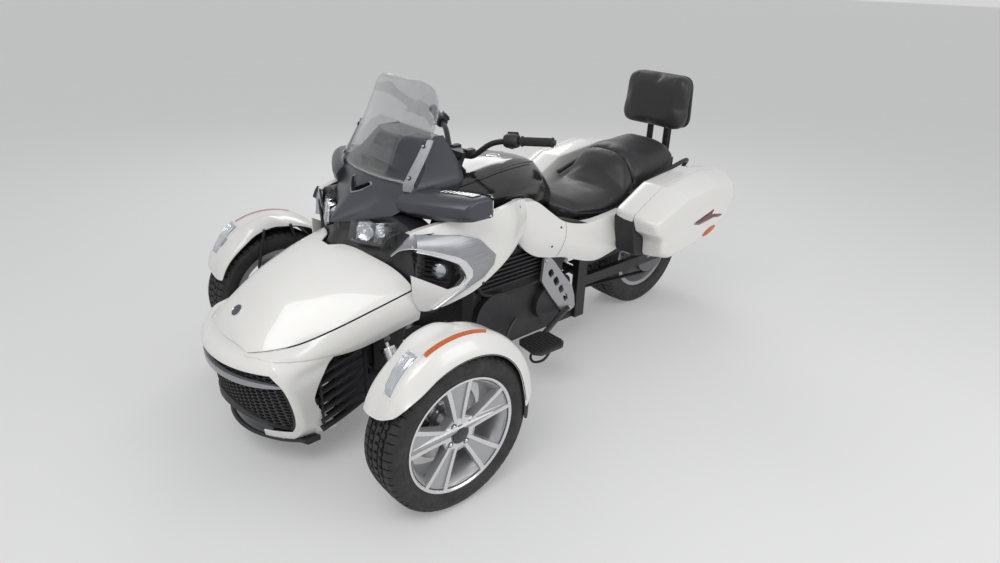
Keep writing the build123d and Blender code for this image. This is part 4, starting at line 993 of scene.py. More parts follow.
def make_mouth():
    shape = Shape()
    dark, mesh, plain, painted_reflection_tint = range(4)
    back = [across_nose(z, .052, .95, 25) for z in (.150, .20, .26, .32, .38, .43, .445)]
    shape.grid(back, mat=dark)
    rim = []
    for z in evenly(.186, .434, 30):
        half = smooth_table(nose_table, z)[3]
        rim.append([Vector((x, nose_plan(z, x) + y, z)) for x, y in
                    ((half - .001, .012), (half - .012, .012), (half - .016, .017), (half - .016, .04),
                     (half - .001, .04))])
    shape.loft(rim, plain)
    shape.loft([sided(-1, row) for row in rim], plain)
    upper = [[Vector((p.x, p.y + y, p.z + z)) for p in across_nose(.428, 0, .92)] for y, z in
             ((.016, .006), (.016, -.002), (.024, -.006), (.040, -.006), (.040, .006))]
    shape.grid(upper, close_rows=True, mat=plain)
    hexagon = ((-.5, 0), (-.25, -.5), (.25, -.5), (.5, 0), (.25, .5), (-.25, .5))
    cell_w, cell_h, wire, deep = .028, .0145, .0017, .010
    column = 0
    x = -.285
    while x < .286:
        z = .200 + (cell_h / 2 if column % 2 else 0)
        while z < .430:
            half = smooth_table(nose_table, z)[3]
            if abs(x) < half - .020 and z > panel_top(x) - .004:
                outer, inner = ([(x + du * cell_w * share, z + dv * cell_h * share) for du, dv in hexagon]
                                for share in (1.04, 1 - 2 * wire / cell_h))
                loops = []
                for ring, lift in ((outer, deep), (outer, 0), (inner, .0012), (inner, deep)):
                    loops.append([Vector((u, nose_plan(v, u) + .020 + lift, v)) for u, v in ring])
                shape.grid(loops, close_cols=True, mat=mesh)
            z += cell_h
        x += cell_w * .75
        column += 1
    panel = []
    for x in evenly(-.236, .236, 31):
        top, low = panel_top(x), panel_low(x)
        bulge = .012 * (1 - (abs(x) / .236) ** 2)
        row = [Vector((x, nose_plan(top, x) + .030, top + .002))]
        for t in steps(5):
            z = lerp(top, low, t)
            row.append(Vector((x, nose_plan(z, x) + .016 + .006 * t - bulge * t, z)))
        row.append(Vector((x, nose_plan(low, x) + .034, low - .001)))
        panel.append(row)
    shape.grid(panel, mat=plain)
    # The lower insert: gloss black tinted blue, a painted reflection of blue-lit surroundings.
    insert = []
    for x in evenly(-.214, .214, 25):
        top, low = panel_low(x), .140 + .008 * (abs(x) / .214) ** 2
        row = []
        for t in steps(7):
            z = lerp(top, low, t)
            hollow = .034 * arch(min(1, t * 1.05)) * (1 - (abs(x) / .216) ** 4)
            row.append(Vector((x, nose_plan(z, x) + .020 - .010 * t + hollow, z)))
        insert.append(row)
    shape.grid(insert, mat=painted_reflection_tint)
    shape.build("grille_mouth", ["black_plastic", "black_satin", "black_plastic", "blue_gloss"],
                "black_plastic", ["front_grilles"], smooth=40)
    strip = []
    for u in spans(45):
        x = u * .296
        tall = .0125 * (1 - .75 * abs(u) ** 4)
        z = .388 + .004 * u * u
        face = nose_plan(z, min(abs(x), .298)) + .006 * abs(u) ** 3
        strip.append([Vector((x, face + y, z + h * tall)) for y, h in
                      ((.016, 1), (.001, 1), (-.001, .85), (-.001, -.8), (.003, -1), (.016, -1))])
    Shape().loft(strip).build(
        "silver_strip", ["silver_panel"], "silver_panel", ["grille_strip"], bevel=.0006)
    lip = []
    for u in spans(41):
        x = u * .268
        y = nose_plan(.140, min(abs(x), .236)) + (.5 * max(0, abs(x) - .225))
        lip.append([Vector((x, y + dy, z)) for dy, z in
                    ((.060, .140), (.004, .140), (-.004, .132), (.012, .118), (.060, .118))])
    Shape().loft(lip).build(
        "chin_lip", ["black_plastic"], "black_plastic", ["front_lip"], bevel=.0015)


def make_shoulders():
    """The white beam between the lid's groove and the wheel, and the side intake's slats."""
    shape = Shape()
    rows = []
    for y in evenly(-1.250, -.706, 40):
        out_x, out_z, deep = smooth_table(shoulder_table, y)
        half, edge = smooth_table(hood_table, y)[:2]
        half = min(half, out_x - .012)
        rows.append([Vector(p) for p in (
            (half - .012, y, edge - .022), (half + .004, y, edge - .014), (half + .0045, y, edge - .004),
            (half + .009, y, edge), (lerp(half, out_x, .55), y, lerp(edge, out_z, .22)),
            (out_x - .005, y, lerp(edge, out_z, .62)), (out_x, y, out_z),
            (out_x - .002, y, out_z - deep * .5), (out_x - .010, y, out_z - deep))])
    shape.grid(rows)
    shape.mirror()
    shape.build("shoulder_beams", ["white_paint"], "white_paint", wall=.0035, bevel=.0016,
                inside=(0, -.95, .30))
    low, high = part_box("side_radiators")
    intake = Shape()
    plastic, fin = range(2)
    for y in evenly(low.y + .004, high.y - .006, 26):
        intake.box((high.x - .050, y, low.z + .01), (high.x - .028, y + .0016, high.z - .01), fin)
    intake.box((high.x - .054, low.y, low.z), (high.x - .046, high.y, high.z), plastic)
    for z in evenly(low.z + .005, high.z - .015, 7):
        row = []
        for t in steps(9):
            y = lerp(-1.068, high.y, t)
            x = .292 - .020 * t * t
            drop = -.030 + .045 * t
            row.append([Vector((x - dx, y, z + drop + dz)) for dx, dz in
                        ((0, .000), (.002, .005), (.026, .012), (.026, .006))])
        intake.loft(row, plastic)
    for y in (-1.060, -.885):
        intake.box((high.x - .034, y - .004, low.z), (high.x - .008, y + .004, high.z), plastic)
    intake.mirror()
    intake.build("side_intakes", ["black_plastic", "alloy_grey"], "black_plastic",
                 ["side_radiators"], bevel=.0006, segments=1)


make_fascia()
make_mouth()
make_shoulders()


# Cowl

cowl_table = (
    # z, front y, facet x, facet y, corner x, corner y, rear y
    (.800, -.838, .026, -.812, .062, -.772, -.620),
    (.822, -.818, .060, -.775, .130, -.730, -.520),
    (.845, -.792, .090, -.742, .190, -.700, -.470),
    (.893, -.740, .118, -.696, .232, -.652, -.430),
    (.945, -.690, .120, -.668, .249, -.632, -.420),
    (1.000, -.628, .105, -.615, .212, -.570, -.420),
    (1.085, -.574, .080, -.562, .140, -.530, -.440),
)
vents = {
    # name: outline as (x, z)
    "low": ((-.066, .926), (-.030, .902), (0, .892), (.030, .902), (.066, .926), (.052, .932), (0, .908),
            (-.052, .932)),
    "duct": ((-.118, .985), (-.060, .968), (.060, .968), (.118, .985), (.070, .994), (0, .998),
             (-.070, .994)),
    "top": ((-.086, 1.046), (-.058, 1.076), (.058, 1.076), (.086, 1.046), (.074, 1.030), (-.074, 1.030)),
}


def cowl_face(x, z, out=0.0):
    """A point on the cowl's front, pushed out of it."""
    front, facet_x, facet_y, corner_x, corner_y = smooth_table(cowl_table, z)[:5]
    a = abs(x)
    if a <= facet_x:
        y = lerp(front, facet_y, (a / facet_x) ** 1.5)
    else:
        y = lerp(facet_y, corner_y, min(1.15, (a - facet_x) / (corner_x - facet_x)))
    return Vector((x, y - out * .8, z + out * .5))


def within(outline, x, z):
    """Whether a point lies in a closed outline."""
    hit = False
    for (x0, z0), (x1, z1) in zip(outline, outline[1:] + outline[:1]):
        if (z0 > z) != (z1 > z) and x < x0 + (z - z0) / (z1 - z0) * (x1 - x0):
            hit = not hit
    return hit


def make_cowl():
    shape = Shape()
    dark, black, lip_mat = range(3)
    heights = through(cowl_table, 76)
    grid = []
    for z in heights:
        corner_x = smooth_table(cowl_table, z)[3]
        grid.append([cowl_face(u * corner_x, z) for u in spans(89)])
    cols = len(grid[0])
    verts = [p for row in grid for p in row]
    faces = []
    for i in range(len(grid) - 1):
        for j in range(cols - 1):
            mid = (grid[i][j] + grid[i + 1][j + 1]) / 2
            if any(within(v, mid.x, mid.z) for v in vents.values()):
                continue
            a, b = i * cols + j, (i + 1) * cols + j
            faces.append((a, a + 1, b + 1, b))
    shape.add(verts, faces, dark)
    for side in (-1, 1):
        rows = []
        for z in heights:
            corner_x, corner_y, rear = smooth_table(cowl_table, z)[3:]
            tuck = .018 * (1 - max(0, (z - .90) / .185)) if z > .83 else .004
            rows.append([Vector((side * lerp(corner_x, corner_x - tuck, t ** 1.5),
                                 lerp(corner_y, rear, t), z)) for t in steps(9)])
        shape.grid(rows, mat=dark)
    top = []
    for t in steps(5):
        top.append([lerp(p, Vector((p.x * .96, -.44, 1.080)), t) for p in grid[-1]])
    shape.grid(top, mat=black)
    shape.build("cowl_skin", ["dark_cowl", "black_plastic", "silver_panel"], "dark_cowl",
                ["upper_cowl"], wall=.0035, inside=(0, -.50, .93), smooth=24)
    trim = Shape()
    for name, outline in vents.items():
        around = rounded(outline, .006, 3)
        middle_z = sum(z for x, z in around) / len(around)
        rows = []
        for grow, out in ((1.075, .0005), (1.05, .0040), (1.0, .0046), (.97, .0030), (.93, -.030)):
            rows.append([cowl_face(x * (1 + (grow - 1) * .8),
                                   middle_z + (z - middle_z) * (1 + (grow - 1) * 2.6), out)
                         for x, z in around])
        for i in range(4):
            mat = black if i == 3 else lip_mat if name == "low" and i < 2 else dark
            trim.grid(rows[i:i + 2], close_cols=True, mat=mat)
        back = rows[-1]
        trim.add(back, [tuple(range(len(back)))], black)
        if name != "low":
            for share in (.35, .68):
                z = lerp(min(z for _, z in outline), max(z for _, z in outline), share)
                bar = [cowl_face(x, z, -.012) for x in evenly(-.075, .075, 15)]
                trim.tube(bar, .0022, 6, black)
    trim.build("cowl_vents", ["dark_cowl", "black_plastic", "silver_panel"], "dark_cowl",
               smooth=40)


def make_headlamps():
    """The clear covers under the cowl's edge, with a bowl and silver uprights behind each."""
    front = ((.082, -.8145), (.112, -.800), (.150, -.783), (.186, -.766), (.214, -.738), (.232, -.690))
    rows = []
    for t in steps(9):
        z = lerp(.750, .832, t)
        row = []
        for i, (x, y) in enumerate(front):
            top = lerp(.818, .838, i / 5)
            zz = min(z, top) if t < 1 else top
            row.append(Vector((x, y + .22 * (zz - .750) - .004 * math.sin(math.pi * i / 5), zz)))
        rows.append(row)
    cover = Shape().grid(rows)
    cover.mirror()
    cover.build("lamp_covers", ["lens_clear"], "clear_screen", wall=.0020,
                inside=(0, -.60, .79), smooth=40)
    inner = Shape()
    bowl, trim, black = range(3)
    for x, y, z, r in ((.132, -.772, .788, .031), (.196, -.742, .796, .016)):
        axis = Vector((.35, -1, .10))
        spot = Vector((x, y, z))
        inner.lathe([(0, 0), (.0, r * .3), (.006, r * .75), (.016, r), (.019, r * 1.06), (.014, r * 1.12),
                     (-.012, r * 1.08)], spot - axis.normalized() * .012, axis, 40, bowl, closed=False)
        inner.lathe([(.012, 0), (.010, r * .28), (.004, r * .40), (-.002, r * .40)], spot, axis, 24, trim,
                    closed=False)
    for x0, y0 in ((.098, -.792), (.162, -.760)):
        outline = [(x0, y0), (x0 + .010, y0 - .004), (x0 + .016, y0 + .030), (x0 + .004, y0 + .030)]
        inner.prism([(x, y, .756) for x, y in outline], (.004, .012, .062), trim)
    shelf = [(.085, -.806), (.150, -.776), (.212, -.735), (.212, -.66), (.085, -.66)]
    inner.prism([(x, y, .752) for x, y in shelf], (0, 0, .006), black)
    for k in range(6):
        x = .100 + k * .018
        inner.box((x, -.752 + k * .004, .760), (x + .004, -.742 + k * .004, .820), black)
    inner.mirror()
    inner.build("lamp_bowls", ["lamp_mirror", "chrome", "black_gloss"], "lamp_glass",
                ["headlamps"], bevel=.0006, segments=1)


screen_table = (
    # z, centre y, half width, side y
    (.958, -.690, .231, -.640),
    (1.090, -.618, .226, -.556),
    (1.190, -.566, .212, -.512),
    (1.245, -.539, .186, -.502),
    (1.267, -.527, .150, -.504),
    (1.2755, -.521, .100, -.509),
)


def screen_point(u, z, out=0.0):
    centre, half, side = smooth_table(screen_table, z)
    return Vector((u * half, lerp(centre, side, abs(u) ** 2.2) - out, z + out * .5))


def make_screen():
    low, high = screen_table[0][0], screen_table[-1][0]
    heights = [lerp(low, high, t ** .85) for t in steps(40)]
    skin = Shape().grid([[screen_point(u, z) for u in spans(37)] for z in heights])
    skin.build("screen_skin", ["screen"], "clear_screen", ["windshield"], wall=.0032,
               inside=(0, -.30, 1.0), smooth=50)
    strips = Shape()
    plate, screw, rubber = range(3)
    for side in (-1, 1):
        rows = []
        for t in steps(14):
            z = lerp(.932, 1.098, t)
            wide = .030 - .010 * t if t < .9 else .012
            zz = max(z, low)
            edge = screen_point(side, zz)
            inward = screen_point(side * (1 - wide / .22), zz)
            shift = Vector((side * .004, 0, z - zz))
            rows.append([edge + shift + Vector((side * .003, .004, 0)),
                         edge + shift + Vector((0, -.006, 0)),
                         inward + shift + Vector((0, -.006, 0)), inward + shift + Vector((0, -.001, 0))])
        strips.loft(rows, plate)
        for z in (.975, 1.075):
            spot = screen_point(side * .945, z, .005)
            strips.knob(spot, (side * .35, -1, .35), .0075, .005, rubber, 14)
            strips.bolt(spot + Vector((side * .001, -.004, .002)), (side * .35, -1, .35), .0048, screw)
    strips.build("screen_strips", ["silver_panel", "steel", "soft_rubber"], "silver_panel",
                 ["screen_brackets"], bevel=.0012)


pod_sections = (
    # x, front y, rear y, low z, crease z, top z
    (.205, -.694, -.560, .850, .902, .930),
    (.250, -.684, -.548, .846, .906, .938),
    (.330, -.644, -.510, .848, .910, .943),
    (.400, -.604, -.472, .854, .912, .944),
    (.440, -.578, -.455, .862, .912, .940),
    (.450, -.560, -.464, .870, .912, .932),
)


def make_pods():
    rows = []
    for x, front, rear, low, crease, top in pod_sections:
        rows.append([Vector((x, y, z)) for y, z in (
            (front, crease), (lerp(front, rear, .12), lerp(crease, top, .62)),
            (lerp(front, rear, .34), top), (lerp(front, rear, .85), top), (rear, lerp(crease, top, .6)),
            (rear, crease), (rear, lerp(crease, low, .6)), (lerp(front, rear, .85), low),
            (lerp(front, rear, .30), low), (lerp(front, rear, .06), lerp(crease, low, .6)))])
    both_sides(Shape().loft(rows), "mirror_shell", ["dark_cowl"],
               slot="dark_cowl", bevel=.005, segments=3)
    trim = Shape()
    chrome, black = range(2)
    band = []
    for x in evenly(.262, .446, 20):
        rear, low, _, top = smooth_table(pod_sections, x)[1:]
        band.append([Vector((x, rear + dy, z)) for dy, z in
                     ((-.006, top + .001), (.004, top - .002), (.004, low + .002), (-.006, low - .001))])
    trim.grid(band, mat=chrome)
    rows = []
    for x in evenly(.312, .422, 16):
        front, rear, *_, top = smooth_table(pod_sections, x)
        y = lerp(front, rear, .62)
        rows.append([Vector((x, y + dy, top + h)) for dy, h in
                     ((-.020, -.002), (-.018, .0022), (.018, .0022), (.020, -.002))])
    trim.loft(rows, black)
    for k in range(7):
        x = .315 + k * .014
        front, rear, *_, top = smooth_table(pod_sections, x)
        y = lerp(front, rear, .62)
        trim.box((x, y - .014, top + .0015), (x + .003, y + .014, top + .0034), chrome)
    trim.mirror()
    trim.build("mirror_trim", ["chrome", "black_gloss"], "mirror_face",
               ["mirror_pods"], bevel=.0004, segments=1)


def make_surround():
    """The black housing between the lid's rear edge, the cowl and the flank panels."""
    top_edge = ((0, -.796, .802), (.062, -.765, .806), (.130, -.735, .826), (.200, -.712, .846),
                (.262, -.700, .838), (.345, -.698, .812))
    shape = Shape()
    rows = []
    for s in steps(40):
        x = s * .345
        y1, z1 = smooth_table(top_edge, x)
        y0 = rear_limit(min(x, .334)) + .012
        z0 = hood_height(min(x, .325), rear_limit(min(x, .325))) - .016 - .05 * max(0, x - .325) / .02
        row = [Vector((x, y0 + .06, z0 - .05)), Vector((x, y0, z0 - .02))]
        for t in steps(7):
            dent = .030 * arch(t) * max(0, 1 - ((x - .15) / .09) ** 4)
            row.append(Vector((x, lerp(y0, y1, t) + dent, lerp(z0, z1, t))))
        row.append(Vector((x, y1 + .08, z1 + .004)))
        rows.append(row)
    rows.append([Vector((.345, p.y + .03, p.z)) for p in rows[-1]])
    shape.grid(rows)
    shape.mirror()
    for side in (-1, 1):
        for fin in (((.205, -.752, .745), (.240, -.742, .790), (.290, -.722, .822)),
                    ((.235, -.752, .722), (.275, -.736, .765), (.325, -.712, .800))):
            shape.tube(spread(sided(side, fin), 5), .0045, 8)
    shape.build("lamp_surround", ["black_satin"], "dark_cowl", wall=.003, inside=(0, -.50, .70),
                smooth=40)


make_cowl()
make_surround()
make_headlamps()
make_screen()
make_pods()


# Flanks

def flank_x(y, z):
    """The outer face of the flank panels at a place along and up."""
    lean = max(0.0, (z - .70) / .13) ** 1.5 * max(0.0, min(1.0, (-y - .38) / .32))
    return .388 - .050 * lean


flank_rows = (
    # y, low z, high z, x at low, x at high
    (-.736, .606, .818, .360, .316),
    (-.712, .556, .824, .370, .320),
    (-.640, .548, .838, .380, .336),
    (-.560, .556, .844, .384, .345),
    (-.477, .572, .842, .384, .345),
    (-.400, .606, .836, .382, .340),
    (-.333, .640, .833, .376, .330),
    (-.260, .668, .834, .350, .312),
    (-.172, .690, .826, .296, .270),
    (-.130, .700, .818, .268, .256),
)
intake_edge = ((-.820, .900), (-.726, .900), (-.713, .822), (-.715, .774), (-.650, .748), (-.566, .704),
               (-.545, .684), (-.526, .652), (-.527, .628), (-.550, .611), (-.600, .609), (-.691, .664),
               (-.820, .738))


def edge_point(outline, y, z):
    """The nearest point on a closed outline."""
    best = None
    for (y0, z0), (y1, z1) in zip(outline, outline[1:] + outline[:1]):
        run = (y1 - y0) ** 2 + (z1 - z0) ** 2
        t = min(1.0, max(0.0, ((y - y0) * (y1 - y0) + (z - z0) * (z1 - z0)) / run))
        spot = (lerp(y0, y1, t), lerp(z0, z1, t))
        far = math.hypot(spot[0] - y, spot[1] - z)
        if best is None or far < best[0]:
            best = (far, spot)
    return best[1]


def make_flanks():
    skin = Shape()
    rows = []
    for y in through(flank_rows, 80):
        low, high, x_low, x_high = smooth_table(flank_rows, y)
        row = [Vector((x_low - .030, y, low + .006))]
        for s in steps(33):
            x = lerp(x_low, x_high, s ** 1.3) + .010 * arch(s)
            row.append(Vector((x, y, lerp(low, high, s))))
        row.append(Vector((x_high - .024, y, high - .002)))
        rows.append(row)
    kept, cut, quads = set(), set(), []
    for i in range(len(rows) - 1):
        for k in range(len(rows[0]) - 1):
            corners = ((i, k), (i, k + 1), (i + 1, k + 1), (i + 1, k))
            mid = (rows[i][k] + rows[i + 1][k + 1]) / 2
            if within(intake_edge, mid.y, mid.z):
                cut.update(corners)
            else:
                kept.update(corners)
                quads.append(corners)
    for i, k in kept & cut:
        p = rows[i][k]
        p.y, p.z = edge_point(intake_edge, p.y, p.z)
    places = {at: n for n, at in enumerate(sorted(kept))}
    skin.add([rows[i][k] for i, k in sorted(kept)], [tuple(places[at] for at in quad) for quad in quads])
    both_sides(skin, "flank_skin", ["white_paint"], slot="white_paint", wall=.0040,
               bevel=.0016, inside=(.20, -.45, .70))
    core = Shape()
    outline = [(-.690, .575), (-.690, .805), (-.40, .815), (-.175, .805), (-.175, .71), (-.33, .665),
               (-.47, .60)]
    core.prism([(.256, y, z) for y, z in outline], (.030, 0, 0))
    core.mirror()
    core.build("flank_core", ["black_plastic"], "black_plastic", ["side_panels"], bevel=.003)
    louvre = Shape()
    silver, edge, black, chrome, glass = range(5)
    pairs = (
        # inner y, z, then outer y, z
        (-.716, .776, -.706, .822),
        (-.650, .750, -.640, .812),
        (-.565, .706, -.535, .792),
        (-.543, .684, -.455, .762),
        (-.524, .652, -.384, .690),
        (-.522, .628, -.392, .655),
        (-.560, .598, -.440, .614),
        (-.668, .556, -.650, .553),
    )
    ribbon = []
    for iy, iz, oy, oz in pairs:
        row = [Vector((flank_x(iy, iz) - .030, iy - .004, iz - .004)),
               Vector((flank_x(iy, iz) + .0020, iy - .003, iz - .002))]
        for s in steps(6)[1:-1]:
            y, z = lerp(iy, oy, s), lerp(iz, oz, s)
            row.append(Vector((flank_x(y, z) + .006 * arch(s), y, z)))
        row += [Vector((flank_x(oy, oz) - .001, oy, oz)), Vector((flank_x(oy, oz) - .012, oy, oz))]
        ribbon.append(row)
    louvre.grid(ribbon, mat=(edge, edge) + (silver,) * 6)
    bezel = spread([(flank_x(iy, iz) + .001, iy - .003, iz - .002) for iy, iz, oy, oz in pairs], 4)
    louvre.tube(bezel, .0022, 6, edge)
    for k in range(6):
        z = .764 - k * .020
        start = Vector((.330 + k * .005, -.722 + k * .006, z))
        end = Vector((.350, -.600 + k * .006, z - .050))
        bend = (start + end) / 2 + Vector((.006, 0, 0))
        section = ((0, 0, 0), (.003, 0, .004), (-.016, .004, .008), (-.018, .004, .003))
        louvre.loft([[p + Vector(d) for d in section] for p in (start, bend, end)], black)
    louvre.prism([(.322, y, z) for y, z in ((-.712, .770), (-.565, .704), (-.520, .640), (-.56, .592),
                                            (-.69, .560))], (.006, 0, 0), black)
    spot, axis = Vector((.350, -.612, .676)), Vector((.75, -.85, .20))
    louvre.lathe([(0, .030), (.016, .031), (.018, .028), (.012, .025), (.0, .024)], spot, axis, 36, black)
    louvre.lathe([(.002, 0), (.004, .010), (.012, .0235)], spot, axis, 36, chrome, closed=False)
    louvre.lathe([(.0185, 0), (.0165, .012), (.012, .0245)], spot, axis, 36, glass, closed=False)
    both_sides(louvre, "louvre_skin", ["silver_panel", "alloy_bright", "black_plastic", "lamp_mirror",
                                       "lens_white"], slot="silver_panel", bevel=.0005, segments=1)
    tip = Shape()
    upper = spread([(.3285, -.694, .822), (.318, -.713, .814), (.293, -.733, .778),
                    (.264, -.757, .738)], 5)
    lower = spread([(.345, -.698, .772), (.324, -.722, .772), (.293, -.739, .760),
                    (.268, -.756, .736)], 5)
    ribbon = []
    for a, b in zip(upper, lower):
        across = (b - a).normalized()
        ribbon.append([a + Vector((-.012, .012, 0)), a, lerp(a, b, .35) + Vector((.003, -.003, .001)),
                       lerp(a, b, .7) + Vector((.003, -.003, 0)), b,
                       b + across * .001 + Vector((-.012, .012, -.002))])
    tip.grid(ribbon, mat=silver)
    tip.tube(lower, .0024, 6, edge)
    tip.mirror()
    tip.build("louvre_tips", ["silver_panel", "alloy_bright"], "silver_panel", bevel=.0004)
    screws = Shape()
    for y, z in ((-.640, .566), (-.440, .600)):
        screws.bolt(Vector((flank_x(y, z) - .004, y, z - .010)), (1, 0, -.2), .006)
    screws.mirror()
    screws.build("flank_screws", ["black_satin"], "black_frame", ["louvre_panels"])


make_flanks()


# Tank cover and the white side panels behind it

tank_table = (
    # y, half width, low z, shoulder z, crown z
    (-.418, .225, .742, .800, .872),
    (-.250, .225, .742, .850, .912),
    (-.080, .205, .742, .858, .930),
    (.080, .160, .730, .815, .903),
    (.146, .128, .715, .768, .838),
)


def make_tank():
    rows = []
    for y in through(tank_table, 30):
        half, low, shoulder, crown = smooth_table(tank_table, y)
        row = []
        for u in spans(27):
            a = abs(u)
            if a > .72:
                k = (a - .72) / .28
                x, z = half * (1 - .02 * k), lerp(shoulder, low, k)
            else:
                k = a / .72
                x, z = half * k, crown - (crown - shoulder) * (k ** 2.6)
            ridge = .004 * math.exp(-((a - .30) / .05) ** 2)
            row.append(Vector((math.copysign(x, u), y, z + ridge)))
        rows.append(row)
    front = [lerp(Vector((p.x, -.418, p.z)), Vector((p.x * .8, -.418, .76)), .5) for p in rows[0]]
    rear = [Vector((p.x * .9, .150, lerp(p.z, .715, .35))) for p in rows[-1]]
    Shape().grid([front] + rows + [rear]).build(
        "tank_skin", ["black_gloss"], "black_plastic", ["tank_cover"], wall=.004,
        inside=(0, -.1, .74), smooth=40)
    badge = Shape()
    chrome, blue, satin = range(3)
    axis = Vector((0, .05, 1))
    spot = Vector((0, -.079, .9285))
    badge.lathe([(-.004, .030), (.0012, .030), (.0022, .0275), (.0012, .025), (-.004, .025)], spot, axis,
                40, chrome)
    badge.lathe([(.0004, .0252), (.0018, .018), (.0022, 0)], spot, axis, 40, blue, closed=False)
    for side in (-1, 1):
        line = sided(side, ((.120, -.400, .868), (.140, -.250, .905), (.130, -.08, .922),
                            (.095, .06, .905)))
        badge.tube([p + Vector((0, 0, -.002)) for p in spread(line, 6)], .0022, 6, satin)
    badge.build("tank_trim", ["chrome", "blue_gloss", "black_satin"], "mirror_face", smooth=40)


# Each row is y, then z and x at the low edge, at the middle crease and at the top edge
rear_panel_rows = (
    (-.172, .664, .252, .715, .266, .812, .262),
    (-.120, .600, .258, .690, .272, .806, .262),
    (-.060, .558, .262, .655, .276, .792, .256),
    (.020, .534, .266, .622, .280, .735, .254),
    (.100, .516, .268, .594, .284, .678, .254),
    (.180, .486, .270, .560, .287, .648, .252),
    (.260, .458, .270, .536, .288, .632, .250),
    (.330, .446, .268, .520, .286, .628, .248),
    (.420, .454, .262, .524, .280, .632, .246),
    (.500, .466, .256, .534, .272, .640, .246),
)


def make_rear_panels():
    rows = []
    for y in through(rear_panel_rows, 36):
        z0, x0, z1, x1, z2, x2 = smooth_table(rear_panel_rows, y)
        row = [Vector((x0 - .030, y, z0 + .004))]
        for s in steps(5):
            row.append(Vector((lerp(x0, x1, s) + .004 * arch(s), y, lerp(z0, z1, s))))
        for s in steps(7)[1:]:
            row.append(Vector((lerp(x1, x2, s) + .006 * arch(s), y, lerp(z1, z2, s))))
        row.append(Vector((x2 - .036, y, z2 + .004)))
        rows.append(row)
    both_sides(Shape().grid(rows), "rear_panel_skin", ["white_paint"], slot="white_paint", wall=.0040,
               bevel=.0016, inside=(.10, .15, .62))
    detail = Shape()
    screw, plastic = range(2)
    seam = []
    for s in steps(9):
        y, z = lerp(.118, .060, s), lerp(.668, .530, s)
        z0, x0, z1, x1, z2, x2 = smooth_table(rear_panel_rows, y)
        k = (z - z1) / (z2 - z1) if z > z1 else (z1 - z) / (z1 - z0)
        bulge = .006 if z > z1 else .004
        x = lerp(x1, x2 if z > z1 else x0, k) + bulge * arch(k)
        seam.append((x + .0002, y, z))
    detail.tube(seam, .0009, 5, screw)
    for y, z in ((.075, .658), (.020, .588)):
        z0, x0, z1, x1, z2, x2 = smooth_table(rear_panel_rows, y)
        detail.bolt((lerp(x1, x2, abs(z - z1) / (z2 - z1)) + .0035, y, z), (1, 0, .1), .0055, screw)
    detail.prism([(.20, y, z) for y, z in ((-.16, .66), (-.16, .80), (.05, .70), (.30, .62), (.49, .62),
                                           (.49, .475), (.31, .46), (.08, .54))], (.05, 0, 0), plastic)
    detail.mirror()
    detail.build("rear_panel_fixings", ["black_satin", "black_plastic"], "black_frame",
                 ["rear_side_panels"])


make_tank()
make_rear_panels()


# Seats

def cushion(name, rows, low, cap, seams, cad):
    """A padded seat: rows are (y, half width, edge z, crown z); seams are as in channels."""
    n, across = 30, 33
    top, middle_y = [], (rows[0][0] + rows[-1][0]) / 2
    for y in through(rows, n):
        half, edge, crown = smooth_table(rows, y)
        top.append([Vector((u * half, y, edge + (crown - edge) * (1 - abs(u) ** 3.2)))
                    for u in spans(across)])
    base = [[Vector((p.x * .93, lerp(p.y, middle_y, .02), low)) for p in row] for row in top]
    size = n * across
    faces = []
    for i in range(n - 1):
        for j in range(across - 1):
            a, b = i * across + j, (i + 1) * across + j
            faces.append((a, a + 1, b + 1, b))
            faces.append((size + a, size + b, size + b + 1, size + a + 1))
    border = [(0, j) for j in range(across)] + [(i, across - 1) for i in range(1, n)]
    border += [(n - 1, j) for j in range(across - 2, -1, -1)] + [(i, 0) for i in range(n - 2, 0, -1)]
    for (i0, j0), (i1, j1) in zip(border, border[1:] + border[:1]):
        a, b = i0 * across + j0, i1 * across + j1
        faces.append((a, size + a, size + b, b))
    pad = Shape().add([p for row in top + base for p in row], faces)
    pad = pad.build(name, ["vinyl"], "seat_vinyl", cad)
    swell(pad, cap)
    channels(pad, seams)


def swell(pad, cap, voxel=.006, pressure=2.0):
    """Rounds a pad by voxel remesh and a short cloth simulation under pressure, then applies it."""
    remesh = pad.modifiers.new("Remesh", "REMESH")
    remesh.mode = "VOXEL"
    remesh.voxel_size = voxel
    apply_all(pad)
    pad.data.shade_smooth()
    before = [v.co.copy() for v in pad.data.vertices]
    cloth = pad.modifiers.new("Cloth", "CLOTH")
    cloth.settings.use_pressure = True
    cloth.settings.uniform_pressure_force = pressure
    cloth.settings.effector_weights.gravity = 0
    cloth.settings.tension_stiffness = 30
    cloth.settings.bending_stiffness = 3
    cloth.point_cache.frame_start = 1
    cloth.point_cache.frame_end = 20
    for number in range(1, 21):
        scene.frame_set(number)
    apply_all(pad)
    scene.frame_set(1)
    for vertex, old in zip(pad.data.vertices, before):
        move = vertex.co - old
        if move.length > cap:
            vertex.co = old + move * (cap / move.length)
    smooth = pad.modifiers.new("Smooth", "SMOOTH")
    smooth.iterations = 18
    step = pad.modifiers.new("Subdivision", "SUBSURF")
    step.levels = step.render_levels = 1
    apply_all(pad)


def apply_all(obj):
    """Bakes an object's modifiers into its mesh."""
    depsgraph = bpy.context.evaluated_depsgraph_get()
    mesh = bpy.data.meshes.new_from_object(obj.evaluated_get(depsgraph))
    obj.modifiers.clear()
    obj.data = mesh


def channels(pad, seams, depth=.005, width=.006):
    """Sewn channels: each is a test of a point that gives its distance from the seam's line."""
    for vertex in pad.data.vertices:
        for distance in seams:
            gap = distance(vertex.co)
            if gap < width * 2:
                vertex.co -= vertex.normal * depth * math.exp(-(gap / width) ** 2)


